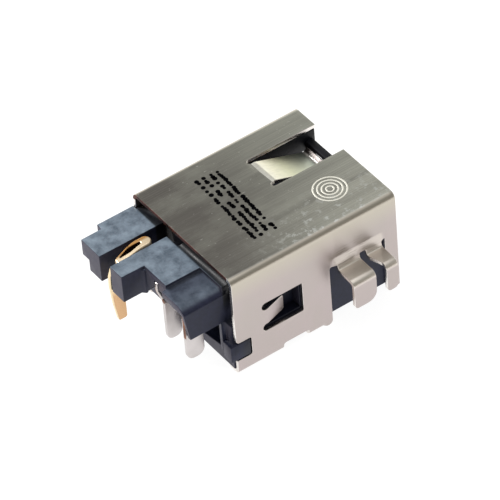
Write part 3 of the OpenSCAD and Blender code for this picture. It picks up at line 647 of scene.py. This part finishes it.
for rear, front, taper in WINGS:
    wall.append((rear, wall_u(WING_TOP), 0.07))
    if taper:
        wall += [(rear, level_start + 0.1, 0.4), (rear + taper, level_start + level, 0.4)]
    wall += [
        (rear + taper, wing_end, 0.2), (front, wing_end, 0.42 * (front - rear - taper)),
        (front, wall_u(WING_TOP), 0.07),
    ]
strip_floor = wall_u(FLOOR + 0.15)
wall += [(STRIP, wall_u(WING_TOP), 0.05), (STRIP, strip_floor, 0.3), (0, strip_floor, 0.05)]
notch = [
    (0, NOTCH_NEAR_U, 0.04), (SLIT_END, NOTCH_NEAR_U, SLIT / 2), (SLIT_END, NOTCH_NEAR_U - SLIT, SLIT / 2),
    (finger_tip, NOTCH_NEAR_U - SLIT, 0.04), (finger_tip, NOTCH_FAR_U + SLIT, 0.04),
    (SLIT_END, NOTCH_FAR_U + SLIT, SLIT / 2), (SLIT_END, NOTCH_FAR_U, SLIT / 2), (0, NOTCH_FAR_U, 0.04),
]
blank = wall + notch + [(x, -u, r) for x, u, r in reversed(wall)]
tongue_top, tongue_floor = WINDOW_TOP - LANCE_SLIT, WINDOW_FLOOR + LANCE_SLIT
window = [
    (WINDOW_REAR, wall_u(WINDOW_TOP), 0.19), (WINDOW_FRONT, wall_u(WINDOW_TOP), 0.07),
    (WINDOW_FRONT, wall_u(WINDOW_FLOOR), 0.07), (WINDOW_REAR, wall_u(WINDOW_FLOOR), 0.19),
    (WINDOW_REAR, wall_u(tongue_floor), 0.19), (lance_tip, wall_u(tongue_floor), 0.12),
    (lance_tip, wall_u(tongue_top), 0.12), (WINDOW_REAR, wall_u(tongue_top), 0.19),
]
print(len(rounded(blank)), "points round the blank")

# %% [markdown]
# Folding asks of each point which tongue it lies on. The wings and tabs fade into the flat wall over a
# few tenths of a millimetre, as drawn metal does, so no tear is left at their ends. A hair of reach past
# each tongue's edge keeps the points on the edge itself with their tongue.

# %% Folding the blank
def fade(x, full, none):
    share = min(1.0, max(0.0, (x - none) / (full - none)))
    return share * share * (3 - 2 * share)


HAIR = 0.01


def on_finger(x, u):
    return x > NOTCH_END and NOTCH_FAR_U + SLIT - HAIR < u < NOTCH_NEAR_U - SLIT + HAIR


def on_lance(x, u):
    return wall_u(tongue_top) - HAIR < u < wall_u(tongue_floor) + HAIR and lance_root < x < lance_tip + HAIR


def fold_shield(point):
    x, u, above = point
    side = 1 if u >= 0 else -1
    across = abs(u)
    if on_finger(x, u):
        out = walk(finger, x - NOTCH_END, above)
        return Vector((NOTCH_END + out.x, MIDDLE - u, TOP - SHEET / 2 + out.y))
    out = walk(section, across, above)
    if across > wing_start and x > OPENING_REAR:
        share = fade(x, WINGS[0][0], OPENING_REAR) * fade(x, WINGS[1][1], STRIP)
        bent = walk(wing, across - wing_start, above, angle=-right_angle, start=walk(section, wing_start, 0))
        out = out.lerp(bent, share)
    if across > tab_start and x < OPENING_REAR:
        share = fade(x, TAB_FRONT, OPENING_REAR - 0.3)
        bent = walk(tab, across - tab_start, above, angle=-right_angle, start=walk(section, tab_start, 0))
        out = out.lerp(bent, share)
    if on_lance(x, u):
        push = walk(lance, x - lance_root, -above)
        return Vector((lance_root + push.x, NEAR + SHEET / 2 + push.y, TOP - SHEET / 2 + out.y))
    return Vector((x, MIDDLE - side * out.x, TOP - SHEET / 2 + out.y))


plate = stamp([rounded(blank), rounded(window)], SHEET)
fold_marks = bend_marks(section)
wing_marks = [wing_start + m for m in bend_marks(wing)]
tab_marks = [tab_start + m for m in bend_marks(tab)]
for side in (1, -1):
    cut_bands(plate, "y", [side * m for m in fold_marks])
    walls = (4, 99) if side > 0 else (-99, -4)
    cut_bands(plate, "y", [side * m for m in wing_marks], (OPENING_REAR, STRIP), walls)
    cut_bands(plate, "y", [side * m for m in tab_marks], (-99, OPENING_REAR), walls)
    cut_bands(plate, "x", [OPENING_REAR + 0.09 * k for k in range(5)], y_range=walls)
    cut_bands(plate, "x", [TAB_FRONT + 0.07 * k for k in range(5)], y_range=walls)
    cut_bands(plate, "x", [WINGS[1][1] + (STRIP - WINGS[1][1]) * k / 4 for k in range(5)], y_range=walls)
print("the flat blank is cut into", len(plate.faces), "faces")

# %% [markdown]
# A large flat face shades unevenly where a bend starts at its edge, so the top is also cut just outside
# the notch, which keeps that unevenness in a narrow frame.

# %% Bands round the notch, and the faces' materials
notch_frame = {"x_range": (-5, 0), "y_range": (-2.6, 0.4)}
cut_bands(plate, "x", [SLIT_END - 0.2, NOTCH_END - 0.06], **notch_frame)
cut_bands(plate, "y", [NOTCH_FAR_U - 0.2, NOTCH_NEAR_U + 0.2], **notch_frame)
finger_marks = [NOTCH_END + m for m in bend_marks(finger, step=math.radians(6))]
cut_bands(plate, "x", finger_marks, (NOTCH_END, 0), (-2.1, -0.2))
window_span = (wall_u(WINDOW_TOP), wall_u(WINDOW_FLOOR))
cut_bands(plate, "x", [lance_root + m for m in bend_marks(lance)], (-8, -6), window_span)

FINGER_FACE, RUST, BURR = 2, 3, 4
for face in plate.faces:
    x, u, _ = face.calc_center_median()
    at_slit_end = SLIT_END - 0.1 < x < SLIT_END + 0.24 and NOTCH_FAR_U - 0.1 < u < NOTCH_NEAR_U + 0.1
    if face.material_index == FLAT:
        if on_finger(x, u):
            face.material_index = FINGER_FACE
    elif x < REAR + 0.05 and -wall_start < u < 3.3:
        face.material_index = RUST
    # The slit ends get the pale material, a painted highlight.
    elif at_slit_end:
        face.material_index = BURR
for vertex in plate.verts:
    vertex.co = fold_shield(vertex.co)
finish_piece("shield_folded", plate, [steel, edge, lit_finger_steel, bare, slit_end_glint], "shield", sharp=math.radians(24))

# %% [markdown]
# ## The moulded body
# The body's shape is already right in the CAD model, but a mould never leaves a knife edge. A copy of
# the CAD mesh is merged, its flat faces joined, and its outer corners eased by a few hundredths of a
# millimetre, which is what catches the light along them.

# %% The moulded body
def is_corner(rim):
    convex = len(rim.link_faces) == 2 and rim.is_convex
    return convex and rim.calc_face_angle(0) > math.radians(40) and rim.calc_length() > 0.06


def eased_copy(node, ease):
    built = bmesh.new()
    built.from_mesh(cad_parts[node].data)
    for vertex in built.verts:
        vertex.co /= MM
    bmesh.ops.remove_doubles(built, verts=built.verts, dist=0.002)
    bmesh.ops.dissolve_limit(built, angle_limit=math.radians(1), verts=built.verts, edges=built.edges)
    corners = [rim for rim in built.edges if is_corner(rim)]
    shape = {"offset": ease, "segments": 2, "profile": 0.5, "affect": "EDGES", "clamp_overlap": False}
    bmesh.ops.bevel(built, geom=corners, **shape)
    bmesh.ops.triangulate(built, faces=[f for f in built.faces if len(f.verts) > 4])
    return built


finish_piece("moulded_body", eased_copy("housing", 0.035), [plastic], "housing")

# %% [markdown]
# ## The leaf contacts
# Each leaf contact is one stamped strip: a leg that goes down through the board, and an arm that runs
# forward beside the bore. The strip is drawn flat and then bent, as the shield was, so that the leg
# keeps a round tip and rolled edges. The cut along the back of the leg shows bare bronze.

# %% The leaf contacts
LEAF_TIP, ARM_FLOOR, ARM_TOP = TOP - 4.33, BOARD + 0.2, BOARD + 1.2
BARE_BRONZE = 2


def leaf_contact(node, outline, bend, cuts, back, low, high):
    strip = stamp([rounded(outline)], SHEET)
    for axis, marks in cuts:
        cut_bands(strip, axis, marks)
    for face in strip.faces:
        x, z, _ = face.calc_center_median()
        if face.material_index == CUT and x < back + 0.04 and low < z < high:
            face.material_index = BARE_BRONZE
    for vertex in strip.verts:
        vertex.co = bend(vertex.co)
    finish_piece(node + "_piece", strip, [tin, tin, bronze], node, sharp=math.radians(24))


sleeve_rear, sleeve_front, sleeve_y, leg_top = -10.97, -10.04, -3.88, 1.62
TOUCH_Y, ARM_REACH, touch_angle = -1.8, 3.4, math.radians(45)
bow = math.atan((TOUCH_Y - sleeve_y) / ARM_REACH)
arm = [(2.25, bow, 0.4), (ARM_REACH / math.cos(bow) - 0.35, -bow - touch_angle, 0.25), (0.5, 0, 0)]
arm_start = sleeve_front - 0.05
arm_end = arm_start + flat_length(arm)
outline = [
    (sleeve_rear, LEAF_TIP, 0.39), (sleeve_front, LEAF_TIP, 0.39),
    (sleeve_front, ARM_FLOOR, 0.1), (arm_end, ARM_FLOOR, 0.1),
    (arm_end, ARM_TOP, 0.1), (sleeve_front, ARM_TOP, 0.1),
    (sleeve_front, leg_top, 0.05), (sleeve_rear, leg_top, 0.05),
]


def bend_sleeve(point):
    x, z, above = point
    out = walk(arm, x - arm_start, above) if x > arm_start else Vector((x - arm_start, above))
    return Vector((arm_start + out.x, sleeve_y + out.y, z))


BRONZE_LOW = 0.05
cuts = [("x", [arm_start + m for m in bend_marks(arm)]), ("y", [BRONZE_LOW])]
leaf_contact("sleeve_contact", outline, bend_sleeve, cuts, sleeve_rear, BRONZE_LOW, leg_top)

# %% [markdown]
# The switch contact's leg steps sideways below the arch, so that its tab can be gripped in a slot. Its
# arm swings over to lie beside the sleeve contact, and the plug pushes the two apart.

# %% The switch contact
switch_rear, switch_front, switch_y, arch = -10.9, -10.1, -2.25, 1.47
JOG, jog_angle, jog_mid, TAB_RISE = 0.5, math.radians(64), 0.2, 0.35
slant = (JOG - 2 * jog_mid * (1 - math.cos(jog_angle))) / math.sin(jog_angle)
jog_height = 2 * jog_mid * math.sin(jog_angle) + slant * math.cos(jog_angle)
climb = [
    (arch - jog_height - LEAF_TIP, -jog_angle, jog_mid - SHEET / 2),
    (slant, jog_angle, jog_mid - SHEET / 2), (TAB_RISE, 0, 0),
]
climb_end = LEAF_TIP + flat_length(climb)
swing = [(0.25, -math.radians(45), 0.3), (1.24, math.radians(45), 0.3), (0.25, 0, 0)]
swing_start = switch_front - 0.05
swing_end = swing_start + flat_length(swing)
arm_low, arm_high = ARM_FLOOR + 0.2, arch - jog_height - 0.02
outline = [
    (switch_rear, LEAF_TIP, 0.33), (switch_front, LEAF_TIP, 0.33),
    (switch_front, arm_low, 0.08), (swing_end, arm_low, 0.1),
    (swing_end, arm_high, 0.1), (switch_front, arm_high, 0.08),
    (switch_front, climb_end, 0.08), (switch_rear, climb_end, 0.08),
]


def bend_switch(point):
    x, along, above = point
    if x > swing_start and along < arm_high + HAIR:
        out = walk(swing, x - swing_start, above)
        return Vector((swing_start + out.x, switch_y + out.y, along))
    out = walk(climb, along - LEAF_TIP, -above, angle=right_angle)
    return Vector((x, switch_y + out.x, LEAF_TIP + out.y))


swing_marks = [swing_start + m for m in bend_marks(swing)]
cuts = [("x", swing_marks), ("y", [LEAF_TIP + m for m in bend_marks(climb)])]
leaf_contact("switch_contact", outline, bend_switch, cuts, switch_rear, 0.8, 1.15)

# %% [markdown]
# ## The centre contact
# The centre contact has three parts that were made in different ways: a pin turned in a lathe, a tail
# stamped from strip, and a cup at its head, bent round like a leaf. The cup is a thick plate with a
# slit and a wide rolled rim, and its back end falls a little towards the leg.

# %% The centre contact
CUP_FRONT, CUP_REAR, CUP_NEAR, CUP_FAR, CUP_RIM, CUP_DEPTH = -9.68, -11.6, 0.07, 0.63, 2.35, 0.75
TAIL_TIP, BULGE = TOP - 4.3, -12.14


def lathe(profile, segments=64):
    turned = bmesh.new()
    rings = []
    for x, r in profile:
        if r == 0:
            rings.append([turned.verts.new((x, 0, 0))])
        else:
            turns = [2 * math.pi * k / segments for k in range(segments)]
            rings.append([turned.verts.new((x, r * math.cos(t), r * math.sin(t))) for t in turns])
    for before, after in zip(rings, rings[1:]):
        for k in range(segments):
            n = (k + 1) % segments
            if len(before) == 1:
                turned.faces.new((before[0], after[k], after[n]))
            elif len(after) == 1:
                turned.faces.new((before[k], before[n], after[0]))
            else:
                turned.faces.new((before[k], before[n], after[n], after[k]))
    return turned


def add_to(whole, part):
    mesh = bpy.data.meshes.new("part")
    part.to_mesh(mesh)
    part.free()
    whole.from_mesh(mesh)
    bpy.data.meshes.remove(mesh)


PIN_RADIUS, STEM_RADIUS, PIN_TIP, PIN_REAR, STEM_REAR = 0.6, 0.35, -0.8, -8.0, -8.9
NOSE_LENGTH, NOSE_ROUND, BREAK = 0.35, 0.33, 0.02
nose = []
for k in range(9):
    t = right_angle * k / 8
    x = PIN_TIP - NOSE_LENGTH + NOSE_LENGTH * math.sin(t)
    nose.append((x, PIN_RADIUS - NOSE_ROUND + NOSE_ROUND * math.cos(t)))
stem = [
    (STEM_REAR, 0), (STEM_REAR, STEM_RADIUS - BREAK), (STEM_REAR + BREAK, STEM_RADIUS),
    (PIN_REAR, STEM_RADIUS),
]
whole = lathe(stem + [(PIN_REAR, PIN_RADIUS)] + nose + [(PIN_TIP, 0)])
print("the turned pin has", len(whole.faces), "faces")

# %% [markdown]
# The tail stands on the board and the blade joins it to the pin. Both lie in one plane under the cup.

# %% The tail and the blade
tail = [
    (-11.35, 1.9, 0), (BULGE + 0.2, 2.0, 0.1), (BULGE + 0.02, 1.5, 0.5), (BULGE, 0.9, 0.6),
    (BULGE + 0.1, -0.23, 0.8), (BULGE + 0.26, TAIL_TIP, 0.1), (BULGE + 0.7, TAIL_TIP, 0.12),
    (BULGE + 0.72, 1.62, 0.02), (-11.0, 1.62, 0), (-11.0, 1.9, 0),
]
blade = [
    (-8.88, -0.35, 0.1), (-8.48, -0.35, 0.1), (-8.48, 1.35, 0.2), (-9.68, 1.35, 0.05), (-9.83, 1.9, 0),
    (-10.43, 1.9, 0), (-10.43, 1.15, 0.1), (-9.83, 0.95, 0.1), (-8.88, 0.95, 0.2),
]
STRIP_GOLD, SLIT_GOLD, CUT_GOLD, CUP_GOLD = range(4)
for outline in (tail, blade):
    plate = stamp([rounded(outline)], SHEET)
    for face in plate.faces:
        x, z, _ = face.calc_center_median()
        cut = face.material_index == CUT and x < -11.7 and z > -0.9
        face.material_index = CUT_GOLD if cut else STRIP_GOLD
    for vertex in plate.verts:
        x, z, above = vertex.co
        vertex.co = (x, CUP_NEAR + SHEET / 2 + above, z)
    add_to(whole, plate)
print("pin, tail and blade have", len(whole.faces), "faces")

# %% [markdown]
# The cup is stamped thick and then pressed down at the back. Its underside stays level.

# %% The cup
leaf = [
    (CUP_REAR + 0.05, CUP_NEAR, 0.15), (CUP_FRONT, CUP_NEAR, 0.28), (CUP_FRONT, CUP_FAR, 0.28),
    (-10.5, CUP_FAR + 0.03, 1.6), (CUP_REAR, 0.5, 0.2),
]
slit = [(-11.42, 0.4, 0.03), (-10.8, 0.26, 0.7), (-10.2, 0.32, 0.05), (-10.2, 0.44, 0.06), (-10.8, 0.53, 0.7)]
CUP_FALL, fine_step = 0.42, math.radians(6)
cup = stamp([rounded(leaf, fine_step), rounded(slit, fine_step)], CUP_DEPTH, rim=0.07, rim_steps=4)
cut_bands(cup, "x", [-11.55 + 0.05 * k for k in range(24)])
for face in cup.faces:
    x, y, _ = face.calc_center_median()
    in_slit = abs(face.normal.z) < 0.5 and 0.22 < y < 0.54 and -11.5 < x < -10.15
    face.material_index = SLIT_GOLD if in_slit else CUP_GOLD
for vertex in cup.verts:
    x, _, above = vertex.co
    fall = fade(x, CUP_REAR - 0.5, -10.1) * CUP_FALL if above > 0 else 0
    vertex.co.z = CUP_RIM - CUP_DEPTH / 2 + above - fall
add_to(whole, cup)
golds = [gold, shade_gold, gold_cut, cup_gold]
finish_piece("centre_contact_piece", whole, golds, "centre_contact", sharp=math.radians(30))

# %% [markdown]
# ## Marks on the top
# A maker's line prints a bar of ink dots across the top and etches a ring mark near the mouth. Both
# are left plain here. Each is a pattern that repeats, so each is grown by a node tree: a grid of
# points that a few dots have missed, and a row of circles that grow outwards. Placing a hundred dots by
# hand would work once, but the tree can be given a new count or a new width at any time.

# %% A helper for node trees
def new_tree(name, sockets):
    tree = bpy.data.node_groups.new(name, "GeometryNodeTree")
    tree.interface.new_socket("Geometry", in_out="OUTPUT", socket_type="NodeSocketGeometry")
    for label, kind, value in sockets:
        socket = tree.interface.new_socket(label, in_out="INPUT", socket_type="NodeSocket" + kind)
        socket.default_value = value
    return tree, tree.nodes.new("NodeGroupInput").outputs, tree.nodes.new("NodeGroupOutput").inputs


def grow(tree, name, material_used, **values):
    holder = bpy.data.objects.new(name, bpy.data.meshes.new(name))
    bpy.context.scene.collection.objects.link(holder)
    growing = holder.modifiers.new("grow", "NODES")
    growing.node_group = tree
    for socket in tree.interface.items_tree:
        if socket.in_out == "INPUT" and socket.name in values:
            growing[socket.identifier] = values[socket.name]
    evaluated = holder.evaluated_get(bpy.context.evaluated_depsgraph_get())
    grown = bpy.data.meshes.new_from_object(evaluated)
    holder.modifiers.remove(growing)
    holder.data = grown
    grown.materials.clear()
    grown.materials.append(material_used)
    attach(holder, "root")
    print(name, len(grown.polygons), "faces")


# %% The bar of ink dots
ink = material("black_ink", Base_Color=colour("#08080a"), Specular_IOR_Level=0.0, Roughness=0.6)[0]
DOT_HEIGHT = 0.006 * MM

tree, given, result = new_tree("ink_dots", [
    ("Rows", "Int", 3), ("Dots", "Int", 30), ("Width", "Float", 0.0008), ("Length", "Float", 0.004),
    ("Dot", "Float", 0.00009), ("Missing", "Float", 0.1), ("Shake", "Float", 0.00002),
    ("Ink", "Material", None),
])
spread = {"Size X": given["Width"], "Size Y": given["Length"]}
counts = {"Vertices X": given["Rows"], "Vertices Y": given["Dots"]}
points = add(tree, "GeometryNodeMeshGrid", {**spread, **counts})
chance = {"Probability": given["Missing"], "Seed": 4}
lost = add(tree, "FunctionNodeRandomValue", chance, out=3, data_type="BOOLEAN")
points = add(tree, "GeometryNodeDeleteGeometry", {"Geometry": points, "Selection": lost})
either_way = {0: (-1, -1, 0), 1: (1, 1, 0), "Seed": 9}
jitter = add(tree, "FunctionNodeRandomValue", either_way, data_type="FLOAT_VECTOR")
shift = add(tree, "VectorMath", {0: jitter, "Scale": given["Shake"]}, operation="SCALE")
points = add(tree, "GeometryNodeSetPosition", {"Geometry": points, "Offset": shift})
dot = add(tree, "GeometryNodeMeshCylinder", {"Vertices": 12, "Radius": given["Dot"], "Depth": DOT_HEIGHT})
sizes = add(tree, "FunctionNodeRandomValue", {2: 0.75, 3: 1.2, "Seed": 2}, out=1, data_type="FLOAT")
flat_sizes = add(tree, "CombineXYZ", {0: sizes, 1: sizes, 2: 1.0})
dots = add(tree, "GeometryNodeInstanceOnPoints", {"Points": points, "Instance": dot, "Scale": flat_sizes})
placed = {"Translation": (-5.9 * MM, -1.0 * MM, TOP * MM), "Rotation": (0, 0, math.radians(-2))}
dots = add(tree, "GeometryNodeTransform", {"Geometry": dots, **placed})
dots = add(tree, "GeometryNodeRealizeInstances", {"Geometry": dots})
dots = add(tree, "GeometryNodeSetMaterial", {"Geometry": dots, "Material": given["Ink"]})
tree.links.new(dots, result[0])
bar = {"Rows": 4, "Dots": 30, "Width": 0.00108, "Length": 0.0046, "Dot": 0.000105}
grow(tree, "ink_bar", ink, Missing=0.18, Shake=0.00003, Ink=ink, **bar)

# %% [markdown]
# The ring mark is etched, so it is matt and pale. Circles set one inside the other are joined to a
# round profile that is then pressed flat, which leaves a low ridge with soft sides.

# %% The ring mark
etched = material("etched_nickel", Base_Color=colour("#f6f4ea"), Metallic=1.0, Roughness=0.55)[0]
PRESSED = 0.14

tree, given, result = new_tree("ring_mark", [
    ("Rings", "Int", 3), ("Smallest", "Float", 0.0002), ("Step", "Float", 0.0002), ("Line", "Float", 0.00003),
    ("Etch", "Material", None),
])
row = add(tree, "GeometryNodeMeshLine", {"Count": given["Rings"], "Offset": (0, 0, 0)})
number = add(tree, "GeometryNodeInputIndex")
radius = add(tree, "Math", {0: number, 1: given["Step"], 2: given["Smallest"]}, operation="MULTIPLY_ADD")
scale = add(tree, "CombineXYZ", {0: radius, 1: radius, 2: radius})
circle = add(tree, "GeometryNodeCurvePrimitiveCircle", {"Resolution": 64, "Radius": 1.0})
rings = add(tree, "GeometryNodeInstanceOnPoints", {"Points": row, "Instance": circle, "Scale": scale})
rings = add(tree, "GeometryNodeRealizeInstances", {"Geometry": rings})
rings = add(tree, "GeometryNodeSetCurveRadius", {"Curve": rings, "Radius": 1.0})
profile = add(tree, "GeometryNodeCurvePrimitiveCircle", {"Resolution": 8, "Radius": given["Line"]})
rings = add(tree, "GeometryNodeCurveToMesh", {"Curve": rings, "Profile Curve": profile})
placed = {"Translation": (-2.05 * MM, -2.85 * MM, TOP * MM), "Scale": (1, 1, PRESSED)}
rings = add(tree, "GeometryNodeTransform", {"Geometry": rings, **placed})
rings = add(tree, "GeometryNodeRealizeInstances", {"Geometry": rings})
rings = add(tree, "GeometryNodeSetMaterial", {"Geometry": rings, "Material": given["Etch"]})
tree.links.new(rings, result[0])
grow(tree, "ring_mark", etched, Rings=4, Smallest=0.00018, Step=0.0002, Line=0.00004, Etch=etched)

# %% [markdown]
# ## Floor and light
# The jack stands on white paper. The paper lights the side walls from below, and it shines a little of
# its own so that no hard shadow is left on it. The room is bright behind the jack and dim on the
# camera's side, which is what gives the bent sheet its light and dark bands. One soft lamp behind the
# jack draws the bright lines along the edges.

# %% Floor and light
HALF_FLOOR = 1.2
corners = [(x * HALF_FLOOR, y * HALF_FLOOR, 0) for x, y in ((-1, -1), (1, -1), (1, 1), (-1, 1))]
floor_mesh = bpy.data.meshes.new("floor")
floor_mesh.from_pydata(corners, [], [(0, 1, 2, 3)])
floor = bpy.data.objects.new("floor", floor_mesh)
floor.location.z = (FLOOR - 0.01) * MM
bpy.context.scene.collection.objects.link(floor)
matt = {"Base_Color": [0.22, 0.22, 0.22, 1], "Roughness": 1.0, "Specular_IOR_Level": 0.0}
own_light = {"Emission_Color": (1, 1, 1, 1), "Emission_Strength": 0.93}
paper = material("white_paper", **matt, **own_light)[0]
floor_mesh.materials.append(paper)
floor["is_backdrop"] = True

world = bpy.data.worlds.new("studio")
bpy.context.scene.world = world
world.use_nodes = True
tree = world.node_tree
DIM, BRIGHT = (0.27, 0.255, 0.225, 1), (1.35, 1.33, 1.25, 1)
CEILING, OVERHEAD = (0.3, 0.3, 0.285, 1), (1.1, 1.1, 1.1, 1)
towards = add(tree, "TexCoord", out="Generated")
height = add(tree, "SeparateXYZ", {0: towards}, out="Z")
behind = add(tree, "VectorMath", {0: towards, 1: (0.55, 0.83, 0)}, out="Value", operation="DOT_PRODUCT")
horizon = laid(tree, DIM, BRIGHT, behind, -0.35, 0.75)
ceiling = laid(tree, CEILING, OVERHEAD, height, 0.72, 1.0)
tree.links.new(laid(tree, ceiling, horizon, height, 0.62, 0.2), tree.nodes["Background"].inputs[0])
print("the floor lies at", round(floor.location.z / MM, 2), "mm")

# %% [markdown]
# The lamp is a small soft panel. A sun would light the same edges, but its lines would be hard.

# %% The lamp behind the jack
LAMP_SIDE, LAMP_WATTS, LAMP_DISTANCE = 0.16, 2.2, 0.5
towards = Vector((-0.5, 0.75, 0.75)).normalized()
panel = bpy.data.lights.new("behind", "AREA")
panel.size = LAMP_SIDE
panel.energy = LAMP_WATTS
lamp = bpy.data.objects.new("behind", panel)
bpy.context.scene.collection.objects.link(lamp)
lamp.location = AIM + towards * LAMP_DISTANCE
lamp.rotation_euler = (-towards).to_track_quat("-Z", "Y").to_euler()
bpy.context.scene.view_settings.view_transform = "Standard"
print("the lamp stands", round((lamp.location - AIM).length, 2), "m from the jack")

# %% [markdown]
# ## The finished size
# The box round the finished pieces is measured again and printed.

# %% Measure the finished size
low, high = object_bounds()
print("visual box in mm:", [round(v / MM, 2) for v in (*low, *high)])
